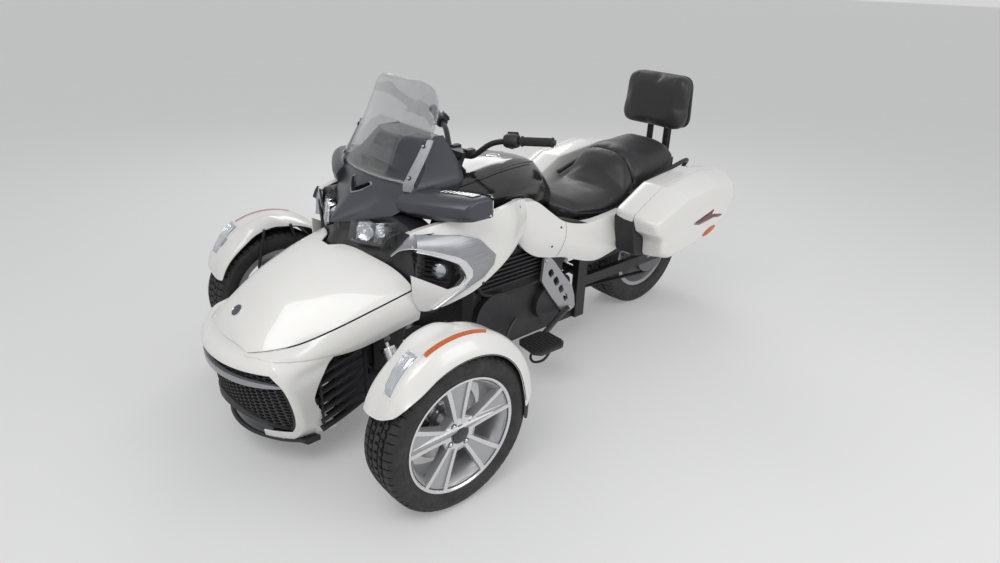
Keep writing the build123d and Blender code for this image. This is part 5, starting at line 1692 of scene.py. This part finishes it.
def near_line(points):
    """Distance from a run of straight pieces, mirrored about X = 0."""
    pts = [Vector(p) for p in points]

    def distance(p):
        q = Vector((abs(p.x), p.y, p.z))
        best = 1.0
        for a, b in zip(pts, pts[1:]):
            run = b - a
            t = max(0, min(1, (q - a).dot(run) / run.length_squared))
            best = min(best, (q - a - run * t).length)
        return best
    return distance


def make_seats():
    rider = ((.150, .118, .712, .764), (.200, .150, .694, .738), (.260, .185, .668, .708),
             (.400, .208, .652, .686), (.500, .208, .655, .698), (.560, .205, .668, .748),
             (.600, .202, .700, .826), (.636, .192, .740, .868))
    curve = [(.205, .30, .664), (.190, .42, .676), (.165, .52, .690), (.110, .575, .742), (0, .590, .790)]
    cushion("rider_cushion", rider, .632, .012, [near_line(spread(curve, 4))], ["rider_seat"])
    pillion = ((.648, .184, .752, .866), (.700, .187, .776, .878), (.780, .188, .796, .876),
               (.860, .187, .810, .880), (.942, .184, .820, .884))
    line = [(.180, .70, .800), (.155, .705, .848), (.08, .712, .868), (0, .714, .870)]
    cushion("pillion_cushion", pillion, .632, .010, [near_line(spread(line, 4))], ["passenger_seat"])
    back = Shape()
    outline = rounded([(-.191, .932), (.191, .932), (.178, 1.188), (-.178, 1.188)], .064, 8)
    ring = []
    for y, grow in ((.962, .86), (.968, .97), (.985, 1.0), (1.010, 1.0), (1.026, .96), (1.030, .84)):
        ring.append([Vector((x * grow, y + .030 * ((z - 1.06) / .12) * .3, 1.06 + (z - 1.06) * grow))
                     for x, z in outline])
    back.loft(ring)
    pad = back.build("backrest_cushion", ["vinyl"], "seat_vinyl", ["backrest_pad"])
    swell(pad, .012)
    line = [(.098, .960, .94), (.088, .962, 1.04), (.108, .968, 1.10), (.112, .972, 1.19)]
    channels(pad, [near_line(line)], .004, .005)
    shell = Shape()
    ring = []
    for y, grow in ((1.026, .95), (1.036, .98), (1.044, .93), (1.048, .60)):
        ring.append([Vector((x * grow, y, 1.06 + (z - 1.06) * grow)) for x, z in outline])
    shell.loft(ring)
    for x in (-.045, .045):
        shell.prism([(x - .012, 1.038, .80), (x + .012, 1.038, .80), (x + .012, 1.046, .80),
                     (x - .012, 1.046, .80)], (0, 0, .18))
    shell.build("backrest_shell", ["black_plastic"], "black_plastic", bevel=.002)
    piping = Shape()
    for rows in (rider, pillion):
        for side in (-1, 1):
            line = [(side * (half - .006), y, edge - .010) for y, half, edge, _ in rows]
            piping.tube(spread(line, 5), .0028, 8)
    piping.build("seat_piping", ["vinyl_stitch"], "seat_vinyl", smooth=60)
    base = Shape()
    for rows in (rider, pillion):
        for side in (-1, 1):
            base.grid([[Vector((side * x, y, z)) for x, z in
                        ((half - .004, edge - .010), (half - .002, lerp(edge, .640, .5)),
                         (half - .012, .636), (half - .05, .636))] for y, half, edge, _ in rows])
    base.build("seat_skirts", ["black_plastic"], "black_plastic", wall=.003,
               inside=(0, .4, .66))


make_seats()


# Handlebar, grips and switches

def make_bars():
    tilt = math.radians(25)
    up = Vector((0, math.sin(tilt), math.cos(tilt)))
    clamp = Vector((0, -.308, .822)) + up * .158
    line = [clamp + Vector(p) for p in ((0, 0, 0), (.070, -.004, 0), (.150, .030, .062),
                                        (.250, .072, .084), (.372, .128, .096))]
    bars = Shape()
    satin, plastic, steel = range(3)
    for side in (-1, 1):
        bars.tube(sided(side, spread(line, 8)), .011, 16, satin)
    bars.tube([clamp - up * .165, clamp - up * .02], [.020, .017], 24, satin)
    for x in (-.045, .045):
        bars.prism([clamp + Vector((x + dx, dy, -.012)) for dx, dy in
                    ((-.014, -.020), (.014, -.020), (.014, .020), (-.014, .020))], (0, 0, .034), plastic)
        for dy in (-.015, .015):
            bars.bolt(clamp + Vector((x, dy, .022)), (0, 0, 1), .0045, steel)
    cover = [clamp + Vector((x, y, -.010)) for x, y in
             ((-.055, -.044), (.055, -.044), (.050, .006), (-.050, .006))]
    bars.prism(cover, (0, .002, .024), plastic)
    bars.build("bar_tube", ["black_satin", "black_plastic", "steel"], "black_frame", ["handlebar"],
               "steering", bevel=.002)
    start, end = line[3:]
    run = (end - start).normalized()
    length = (end - start).length - .010
    profile = [(0, .0112), (0, .0200), (.003, .0205), (.005, .0165)]
    for k in range(19):
        s = .006 + k * (length - .016) / 19
        profile += [(s, .0158), (s + .002, .0168), (s + .0042, .0168), (s + .0052, .0156)]
    profile += [(length - .004, .0190), (length, .0185), (length, .0100)]
    grips = Shape()
    rubber, cap = range(2)
    for side in (-1, 1):
        spot, axis = sided(side, (start + run * .012, run))
        grips.lathe(profile, spot, axis, 28, rubber, closed=False)
        grips.lathe([(length, .0120), (length + .008, .0115), (length + .0095, .008),
                     (length + .0095, 0)], spot, axis, 24, cap, closed=False)
    grips.build("grip_rubbers", ["soft_rubber", "black_satin"], "soft_rubber", ["grips"], "steering",
                smooth=50)
    pods = Shape()
    body, button, light = range(3)
    for side in (-1, 1):
        spot, axis = sided(side, (start - run * .030, run))
        pods.lathe([(-.028, .013), (-.027, .022), (-.018, .0265), (.014, .0270), (.026, .024),
                    (.030, .0215), (.031, .013)], spot, axis, 28, body, closed=False)
        pods.lathe([(-.003, .0272), (-.0025, .0278), (-.0015, .0278), (-.001, .0272)], spot, axis, 28,
                   button)
        rear = Vector((0, .8, .6))
        rear = (rear - axis * rear.dot(axis)).normalized()
        side_dir = axis.cross(rear)
        face = spot + rear * .0235
        pods.prism([face + axis * a + side_dir * b for a, b in
                    ((-.020, -.016), (.022, -.016), (.022, .016), (-.020, .016))], rear * .008, body)
        for a, b, w, h, mat in ((-.012, .008, .008, .006, button), (.002, .008, .008, .006, button),
                                (-.010, -.006, .012, .005, button), (.012, -.004, .006, .009, light)):
            centre = face + rear * .008 + axis * a + side_dir * b
            pods.prism([centre + axis * x + side_dir * y for x, y in
                        ((-w / 2, -h / 2), (w / 2, -h / 2), (w / 2, h / 2), (-w / 2, h / 2))],
                       rear * .0035, mat)
        stem = spot - rear * .022
        pods.tube([stem, stem - rear * .010 + axis * .004, stem - rear * .012 + axis * .018], .0045, 8,
                  body)
    pods.build("switch_shells", ["black_plastic", "black_satin", "lens_white"], "black_plastic",
               ["switch_pods"], "steering", bevel=.0012)


def make_dash():
    shape = Shape()
    body, glass, trim = range(3)
    outline = rounded([(-.118, .930), (.118, .930), (.112, 1.040), (-.112, 1.040)], .014, 5)
    centre_z = .985

    def place(x, z, out):
        return Vector((x, -.505 + (z - .93) * -.35 + out, .870 + (z - .93) * .75))

    rows = []
    for grow, out in ((.90, -.040), (1.0, -.028), (1.0, .000), (.985, .004), (.93, .004)):
        rows.append([place(x * grow, centre_z + (z - centre_z) * grow, out) for x, z in outline])
    shape.loft(rows, body)
    face = [place(x * .92, centre_z + (z - centre_z) * .90, .0046) for x, z in outline]
    shape.prism(face, (0, .0012, 0), glass)
    shelf = [(-.184, -.550), (.184, -.550), (.176, -.432), (-.176, -.432)]
    shape.prism([(x, y, .853) for x, y in shelf], (0, 0, .012), body)
    for x in (-.150, .150):
        shape.box((x - .022, -.500, .862), (x + .022, -.450, .884), body)
        shape.knob((x, -.475, .884), (0, 0, 1), .012, .006, trim, 20)
    shape.build("dash_panel", ["black_plastic", "display_glass", "black_satin"],
                "black_plastic", ["dash_display"], bevel=.002)


make_bars()
make_dash()


# Rear end: grab rails, saddlebags, mudguard, plate and tail lamp

bag_in = .268
bag_tub = ((.400, .668), (.590, .772), (.860, .806), (1.050, .782), (1.075, .700), (1.010, .560),
           (.800, .470), (.560, .452), (.500, .470), (.490, .560), (.430, .600))
bag_outer = ((.425, .655), (.640, .742), (.860, .762), (1.020, .735), (1.050, .690), (.990, .580),
             (.800, .500), (.560, .470), (.500, .500), (.492, .570), (.450, .600))
bag_radii = (.030, .060, .080, .040, .030, .060, .090, .050, .030, .040, .020)


def bag_ring(x, mix, grow=1.0):
    """The saddlebag's outline at a distance out, between its split and its outer face."""
    centre = Vector((.740, .640))
    outline = []
    for a, b in zip(bag_tub, bag_outer):
        p = Vector(a).lerp(Vector(b), mix)
        outline.append(tuple(centre + (p - centre) * grow))
    return [Vector((x, y, z)) for y, z in rounded(outline, bag_radii, 5)]


def make_bags():
    lid = Shape()
    rows = [bag_ring(x, mix, grow) for x, mix, grow in
            ((.3865, 0, .985), (.3875, 0, .998), (.392, 0, 1), (.410, .06, 1), (.432, .22, 1),
             (.452, .45, 1), (.470, .68, 1), (.482, .86, .995), (.490, .97, .975), (.495, 1, .94),
             (.4975, 1, .86), (.498, 1, .60), (.498, 1, .20))]
    lid.loft(rows)
    both_sides(lid, "bag_lid_shell", ["white_paint"], ("bag_lid_left", "bag_lid_right"),
               ["saddlebag_lid"], slot="white_paint", smooth=50, bevel=.0008)
    tub = Shape()
    rows = [bag_ring(x, 0, grow) for x, grow in
            ((bag_in, .90), (bag_in + .004, .95), (.290, .985), (.330, 1), (.374, 1), (.3785, .996),
             (.380, .975))]
    tub.loft(rows)
    tub.mirror()
    tub.build("bag_tub_shells", ["white_paint"], "white_paint", ["saddlebag_tubs"], smooth=50,
              bevel=.0008)
    seal = Shape()
    seal.loft([bag_ring(x, 0, .972) for x in (.378, .3875)])
    seal.mirror()
    seal.build("bag_seals", ["white_paint"], "white_paint")
    base = Shape()
    corner = rounded([(.405, .655), (.520, .655), (.600, .470), (.560, .455), (.445, .474)], .022, 4)
    base.prism([(bag_in + .006, y, z) for y, z in corner], (.112, 0, 0))
    base.mirror()
    base.build("bag_bases", ["black_plastic"], "black_plastic", bevel=.006, segments=3)
    lamp = Shape()
    red, amber, black = range(3)
    outline = rounded([(.700, .606), (.860, .645), (.985, .662), (.962, .622), (.935, .604), (.905, .600),
                       (.870, .606), (.760, .594)], .006, 3)
    centre_y, centre_z = .850, .624
    rows = []
    for grow, out in ((1.0, -.006), (1.0, .0004), (.96, .0012), (.5, .0016), (.1, .0017)):
        rows.append([Vector((bag_lamp_x(y) + out, centre_y + (y - centre_y) * grow,
                             centre_z + (z - centre_z) * grow)) for y, z in outline])
    lamp.loft(rows, red)
    rim = [[Vector((bag_lamp_x(y) + out, centre_y + (y - centre_y) * grow,
                    centre_z + (z - centre_z) * (grow * 3 - 2))) for y, z in outline]
           for grow, out in ((1.035, -.006), (1.035, .0008), (1.0, .0008), (1.0, -.006))]
    lamp.grid(rim, close_rows=True, close_cols=True, mat=black)
    oval = [(.050 * u, .0165 * v) for u, v in ring_2d((0, 0), 1, 28)]
    rows = [[Vector((.4965 + out, .846 + u * grow, .542 + v * grow + u * .26)) for u, v in oval]
            for grow, out in ((1.0, -.004), (1.0, .0010), (.93, .0020), (.3, .0024))]
    lamp.loft(rows, amber)
    both_sides(lamp, "bag_lamp", ["red_lens", "amber_lens", "black_gloss"],
               ("bag_lid_left", "bag_lid_right"), slot="amber_lens", smooth=40)
    hinge = Shape()
    for y in (.560, .800):
        z = lerp(.452, .470, (y - .56) / .24)
        hinge.tube([(.389, y - .022, z - .0035), (.389, y + .022, z - .0020)], .0042, 12)
    hinge.mirror()
    hinge.build("bag_hinges", ["steel"], "shock_steel")


def bag_lamp_x(y):
    """The outer surface of the lid where the lamp lies."""
    return .4972 - .012 * max(0.0, (y - .93) / .05) ** 2


def make_rails():
    rail = Shape()
    path = spread(((.230, .560, .700), (.232, .700, .742), (.232, .900, .790), (.226, .990, .800),
                   (.190, 1.030, .760), (.140, 1.042, .660), (.130, 1.040, .642)), 7)
    for side in (-1, 1):
        rail.tube(sided(side, path), .0105, 16)
        rail.box((side * .060 - .013, 1.0495, .66), (side * .060 + .013, 1.0505, 1.10))
        rail.tube([(side * .06, 1.043, .65), (side * .06, 1.043, 1.115)], .0095, 12)
    rail.tube([(-.075, 1.043, .70), (.075, 1.043, .70)], .009, 12)
    rail.tube([(-.13, 1.042, .642), (.13, 1.042, .642)], .0100, 12)
    rail.build("grab_tubes", ["black_satin"], "black_frame", ["grab_rails"], smooth=60)


def make_tail():
    """The mudguard over the rear wheel, the blank plate on its stem and the tail lamp."""
    guard = Shape()
    rows = []
    for t in steps(30):
        turn = math.radians(lerp(62, -12, t))
        half = .102 - .010 * t
        row = []
        for u in spans(17):
            r = rear_r + .062 - .018 * abs(u) ** 3
            row.append(Vector((u * half, rear_hub.y + math.cos(turn) * r, rear_hub.z + math.sin(turn) * r)))
        rows.append(row)
    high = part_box("rear_mudguard")[1]
    for row in rows:
        for p in row:
            p.y = min(p.y, high.y)
            p.z = min(p.z, high.z)
    guard.grid(rows)
    guard.build("mudguard_skin", ["black_plastic"], "black_plastic", ["rear_mudguard"], wall=.004,
                bevel=.0012, inside=rear_hub)
    low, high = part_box("blank_plate")
    mid = (low.z + high.z) / 2
    plate = Shape()
    white, dark = range(2)
    outline = rounded([(low.x + .001, low.z + .001), (high.x - .001, low.z + .001),
                       (high.x - .001, high.z - .001), (low.x + .001, high.z - .001)], .010, 4)
    plate.prism([(x, high.y - .0035, z) for x, z in outline], (0, .002, 0), white)
    rim = []
    for wide, tall, out in ((1, 1, 0), (1, 1, .0015), (.965, .93, .0015), (.965, .93, 0)):
        rim.append([Vector((x * wide, high.y - .0016 + out, mid + (z - mid) * tall)) for x, z in outline])
    plate.grid(rim, close_rows=True, close_cols=True, mat=white)
    for x in (-.07, .07):
        plate.bolt((x, high.y - .0015, high.z - .018), (0, 1, 0), .005, dark)
    plate.box((low.x + .01, low.y, low.z + .012), (high.x - .01, low.y + .006, high.z - .012), dark)
    plate.box((-.035, high.y - .06, high.z - .012), (.035, high.y - .008, high.z), dark)
    plate.build("plate_panel", ["plate_white", "black_satin"], "plate_blank",
                ["blank_plate"], bevel=.0006)
    low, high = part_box("tail_lamp")
    lamp = Shape()
    outline = rounded([(low.x, low.z), (high.x, low.z), (high.x - .010, high.z), (low.x + .010, high.z)],
                      .008, 4)
    mid = (low.z + high.z) / 2
    rows = [[Vector((x * grow, y, mid + (z - mid) * grow)) for x, z in outline] for grow, y in
            ((.97, low.y), (1.0, low.y + .004), (1.0, high.y - .004), (.97, high.y - .001), (.6, high.y))]
    lamp.loft(rows, 0)
    lamp.build("tail_lens", ["red_lens"], "amber_lens", ["tail_lamp"], smooth=40)
    cluster = Shape()
    amber, stem = range(2)
    for side in (-1, 1):
        cluster.tube([(side * .100, 1.20, .56), (side * .150, 1.225, .56)], .007, 10, stem)
        ring = rounded([(side * .150, .547), (side * .198, .552), (side * .198, .572), (side * .150, .575)],
                       .006, 3)
        cluster.prism([(x, 1.215, z) for x, z in ring], (0, .030, 0), amber)
    cluster.build("rear_indicators", ["amber_lens", "black_plastic"], "amber_lens", bevel=.002)


make_bags()
make_rails()
make_tail()


# Feet: cast brackets, ribbed boards and pedals

def make_feet():
    bracket = Shape()
    cast, steel = range(2)
    outer = rounded([(0, .545), (.030, .535), (.060, .505), (.120, .430), (.185, .355), (.205, .300),
                     (.215, .240), (.185, .230), (.150, .225), (.105, .275), (.060, .330), (.020, .385),
                     (-.010, .430)], .014, 3)
    holes = []
    for y0, z0, y1, z1, wide in ((.035, .470, .055, .435, .014), (.070, .425, .092, .385, .014),
                                 (.105, .375, .125, .340, .013), (.140, .325, .155, .290, .012)):
        run = Vector((y1 - y0, z1 - z0)).normalized()
        side = Vector((-run.y, run.x))
        a, b = Vector((y0, z0)), Vector((y1, z1))
        slot = [a - side * wide, b - side * wide, b + side * wide, a + side * wide]
        holes.append(rounded(slot, wide * .9, 3)[::-1])
    bracket.plate([outer] + holes, lambda u, v, w: Vector((.2475 + w, u, v)), .013, cast)
    for y, z in ((.010, .520), (.180, .250)):
        bracket.bolt((.2605, y, z), (1, 0, 0), .009, steel)
    bracket.mirror()
    bracket.build("bracket_castings", ["cast_silver", "steel"], "engine_metal", ["foot_brackets"],
                  bevel=.0022, segments=3, smooth=40)
    board = Shape()
    black, rubber = range(2)
    outline = [(.322, -.185), (.345, -.205), (.440, -.215), (.466, -.190), (.470, -.075), (.445, -.045),
               (.345, -.045), (.322, -.070)]
    ring = rounded(outline, .016, 3)
    rows = []
    for grow, z in ((.96, .2225), (1, .226), (1, .2345), (.985, .2365)):
        rows.append([Vector((.396 + (x - .396) * grow, -.130 + (y + .130) * grow, z)) for x, y in ring])
    board.loft(rows, black)
    for k in range(9):
        y = -.196 + k * .0175
        inset = .012 if 0 < k < 8 else .026
        board.box((.330 + inset, y, .2365), (.462 - inset, y + .0085, .2398), rubber)
    board.tube(spread([(.262, .165, .250), (.285, .100, .246), (.318, .010, .238), (.345, -.060, .231)], 5),
               .0125, 12, black)
    board.tube(spread([(.262, -.150, .300), (.275, -.205, .262), (.300, -.235, .230),
                       (.330, -.240, .214)], 5), .0065, 10, black)
    board.mirror()
    board.build("footboard_castings", ["black_satin", "soft_rubber"], "black_frame",
                ["footboards"], bevel=.0012)
    pedal = Shape()
    loop = spread([(.372, -.060, .234), (.350, -.10, .190), (.360, -.150, .160), (.392, -.160, .150),
                   (.420, -.130, .165), (.415, -.085, .200), (.400, -.060, .234)], 5)
    pedal.tube(loop, .0055, 10)
    pedal.mirror()
    pedal.build("board_loops", ["black_satin"], "black_frame")


def make_drive():
    """The silencer and the belt's guard."""
    can = Shape()
    body, cap = range(2)
    profile = [(.290, .0), (.290, .018), (.300, .026), (.330, .044), (.345, .0475), (.350, .0465),
               (.360, .0470), (.760, .0470), (.765, .0480), (.785, .0480), (.795, .042), (.800, .030),
               (.800, .021), (.776, .020), (.776, 0)]
    spot = Vector((-.2405, 0, .251))
    can.lathe(profile, spot, (0, 1, 0), 56, body, closed=False)
    for y in (.352, .752):
        can.lathe([(y, .0470), (y, .0476), (y + .012, .0476), (y + .012, .0470)], spot, (0, 1, 0), 56, cap)
    pipe = spread([(-.150, .195, .210), (-.170, .230, .225), (-.215, .262, .245), (-.238, .292, .251)], 6)
    can.tube(pipe, .0190, 20, body)
    can.build("silencer_can", ["exhaust", "steel"], "exhaust_steel", ["muffler"],
              smooth=40)
    guard = Shape()
    rows = []
    for t in steps(22):
        y = lerp(.300, 1.000, t)
        z = lerp(.392, .428, min(1.0, t * 1.15)) - .05 * max(0, t - .85) / .15
        rows.append([Vector((x, y, z + dz)) for x, dz in
                     ((.1555, -.040), (.1555, -.004), (.150, 0), (.118, 0))])
    guard.grid(rows)
    guard.build("belt_cover", ["black_plastic"], "black_plastic", wall=.0025, bevel=.0008,
                inside=(.13, .65, .32))


def make_springs():
    spring = Shape()
    coil, chrome = range(2)
    for side in (-1, 1):
        foot, head = Vector((side * .470, -.800, .194)), Vector((side * .270, -.800, .440))
        run = head - foot
        spring.coil(foot + run * .22, foot + run * .82, .0235, .0046, 7, coil)
        for share, tall in ((.17, .006), (.84, .007)):
            spring.lathe([(0, .010), (0, .0285), (tall, .0285), (.010, .018), (.010, .010)],
                         foot + run * share, run, 30, chrome)
    spring.build("spring_coils", ["cast_silver", "chrome"], "shock_steel", smooth=60)


def make_engine():
    """Fins, covers and bolts on the closed engine, and pipes that show beside it."""
    engine = Shape()
    cast, black, steel = range(3)
    for side in (-1, 1):
        x = side * .247
        for y, z, r, bolts in ((-.250, .330, .100, 8), (.060, .300, .075, 6)):
            axis = (side, 0, 0)
            engine.lathe([(-.030, 0), (-.030, r), (-.008, r), (-.002, r * .93), (0, r * .80),
                          (-.004, r * .74), (-.004, r * .30), (-.001, r * .24), (-.001, 0)], (x, y, z),
                         axis, 48, cast, closed=False)
            for k in range(bolts):
                a = 2 * math.pi * k / bolts
                engine.bolt((x - side * .006, y + math.cos(a) * r * .88, z + math.sin(a) * r * .88), axis,
                            .0055, steel)
        x0, x1 = sorted((side * .213, side * .232))
        for k in range(7):
            z = .455 + k * .018
            engine.box((x0, -.340, z), (x1, .060, z + .005), cast)
        pipe = ((.225, -.360, .520), (.238, -.300, .440), (.236, -.120, .420), (.234, .120, .430))
        engine.tube(spread(sided(side, pipe), 6), .0075, 10, black)
    engine.build("engine_covers", ["engine_cast", "soft_rubber", "steel"], "engine_metal",
                 bevel=.0012)


make_feet()
make_drive()
make_springs()
make_engine()


# The finish of each carried-over part, by its slot in the record

finish = {
    "white_paint": "white_paint", "dark_cowl": "dark_cowl", "black_plastic": "black_plastic",
    "silver_panel": "silver_panel", "black_frame": "frame_paint", "engine_metal": "engine_cast",
    "wheel_alloy": "alloy_paint", "tyre_rubber": "tyre_rubber", "soft_rubber": "soft_rubber",
    "seat_vinyl": "vinyl", "clear_screen": "screen", "lamp_glass": "lens_clear", "amber_lens": "amber_lens",
    "mirror_face": "mirror_face", "shock_steel": "steel", "exhaust_steel": "exhaust",
    "plate_blank": "plate_white",
}
own_finish = {
    "headlamp_housing": "black_satin", "front_compartment": "black_plastic", "foot_brackets": "cast_silver",
    "knuckle_left": "frame_paint", "knuckle_right": "frame_paint", "belt_pulley": "alloy_grey",
    "drive_belt": "soft_rubber", "seat_frame": "black_satin",
}


def finish_nodes():
    for name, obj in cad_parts.items():
        for slot in obj.material_slots:
            kind = slot.material.name.split(".")[0] if slot.material else ""
            match = next((new for old, new in finish.items() if old in kind), "frame_paint")
            slot.material = M[own_finish.get(name, match)]


finish_nodes()


# Floor, lights and camera

def make_floor():
    mat = add("floor_pale", (.60, .60, .595), .7)
    vary(mat, 3.0, .66, .74)
    tree = mat.node_tree
    glow = node(tree, "Emission", Color=(.86, .86, .86, 1), Strength=.22)
    total = node(tree, "AddShader")
    tree.links.new(tree.nodes["Principled BSDF"].outputs[0], total.inputs[0])
    tree.links.new(glow.outputs[0], total.inputs[1])
    tree.links.new(total.outputs[0], tree.nodes["Material Output"].inputs["Surface"])
    verts = [(x, y, 0) for x, y in ring_2d((0, 0), 60.0, 64)]
    mesh = bpy.data.meshes.new("studio_floor")
    mesh.from_pydata(verts, [], [tuple(range(len(verts)))])
    mesh.materials.append(mat)
    new_object("studio_floor", mesh)


def make_light(name, place, target, size, power):
    lamp = bpy.data.lights.new(name, "AREA")
    lamp.shape = "RECTANGLE"
    lamp.size, lamp.size_y = size
    lamp.energy = power
    obj = new_object(name, lamp)
    obj.location = place
    obj.rotation_euler = (Vector(target) - Vector(place)).to_track_quat("-Z", "Y").to_euler()


def make_world():
    world = bpy.data.worlds.new("studio")
    scene.world = world
    world.use_nodes = True
    tree = world.node_tree
    back = tree.nodes["Background"]
    split = node(tree, "SeparateXYZ")
    sky = ramp(tree, (.30, .31, .32), (.84, .85, .86), .40, .75)
    shift = node(tree, "MapRange", From_Min=-1)
    tree.links.new(node(tree, "TexCoord").outputs["Generated"], split.inputs[0])
    tree.links.new(split.outputs["Z"], shift.inputs["Value"])
    tree.links.new(shift.outputs["Result"], sky.inputs["Fac"])
    tree.links.new(sky.outputs["Color"], back.inputs["Color"])
    back.inputs["Strength"].default_value = .62
    pale = node(tree, "Background", Color=(.66, .66, .66, 1))
    seen = node(tree, "LightPath")
    either = seen.outputs["Is Camera Ray"]
    for ray in ("Is Glossy Ray", "Is Transmission Ray"):
        most = node(tree, "Math")
        most.operation = "MAXIMUM"
        tree.links.new(either, most.inputs[0])
        tree.links.new(seen.outputs[ray], most.inputs[1])
        either = most.outputs[0]
    mix = node(tree, "MixShader")
    tree.links.new(either, mix.inputs["Fac"])
    tree.links.new(back.outputs[0], mix.inputs[1])
    tree.links.new(pale.outputs[0], mix.inputs[2])
    tree.links.new(mix.outputs[0], tree.nodes["World Output"].inputs["Surface"])


def make_camera():
    """The photograph's view: the camera's axes are its columns."""
    lens = bpy.data.cameras.new("photo_view")
    lens.lens = 24.526
    lens.sensor_width = 36
    lens.sensor_fit = "HORIZONTAL"
    camera = new_object("photo_view", lens)
    right, up = Vector((.6547, .7552, .0322)), Vector((-.3383, .2546, .9059))
    back = right.cross(up).normalized()
    turn = Matrix((right.normalized(), up.normalized(), back)).transposed().to_4x4()
    camera.matrix_world = Matrix.Translation((2.1051, -1.8966, 1.6481)) @ turn
    scene.camera = camera


make_floor()
make_light("key", (1.6, -2.6, 3.4), (0, -.2, .5), (2.6, 1.6), 55)
make_light("fill", (3.6, .9, 2.2), (0, 0, .5), (2.2, 1.6), 34)
make_light("rim", (-2.8, 1.8, 2.8), (0, .1, .6), (2.2, 1.4), 34)
make_world()
make_camera()

scene.view_settings.view_transform = "Standard"
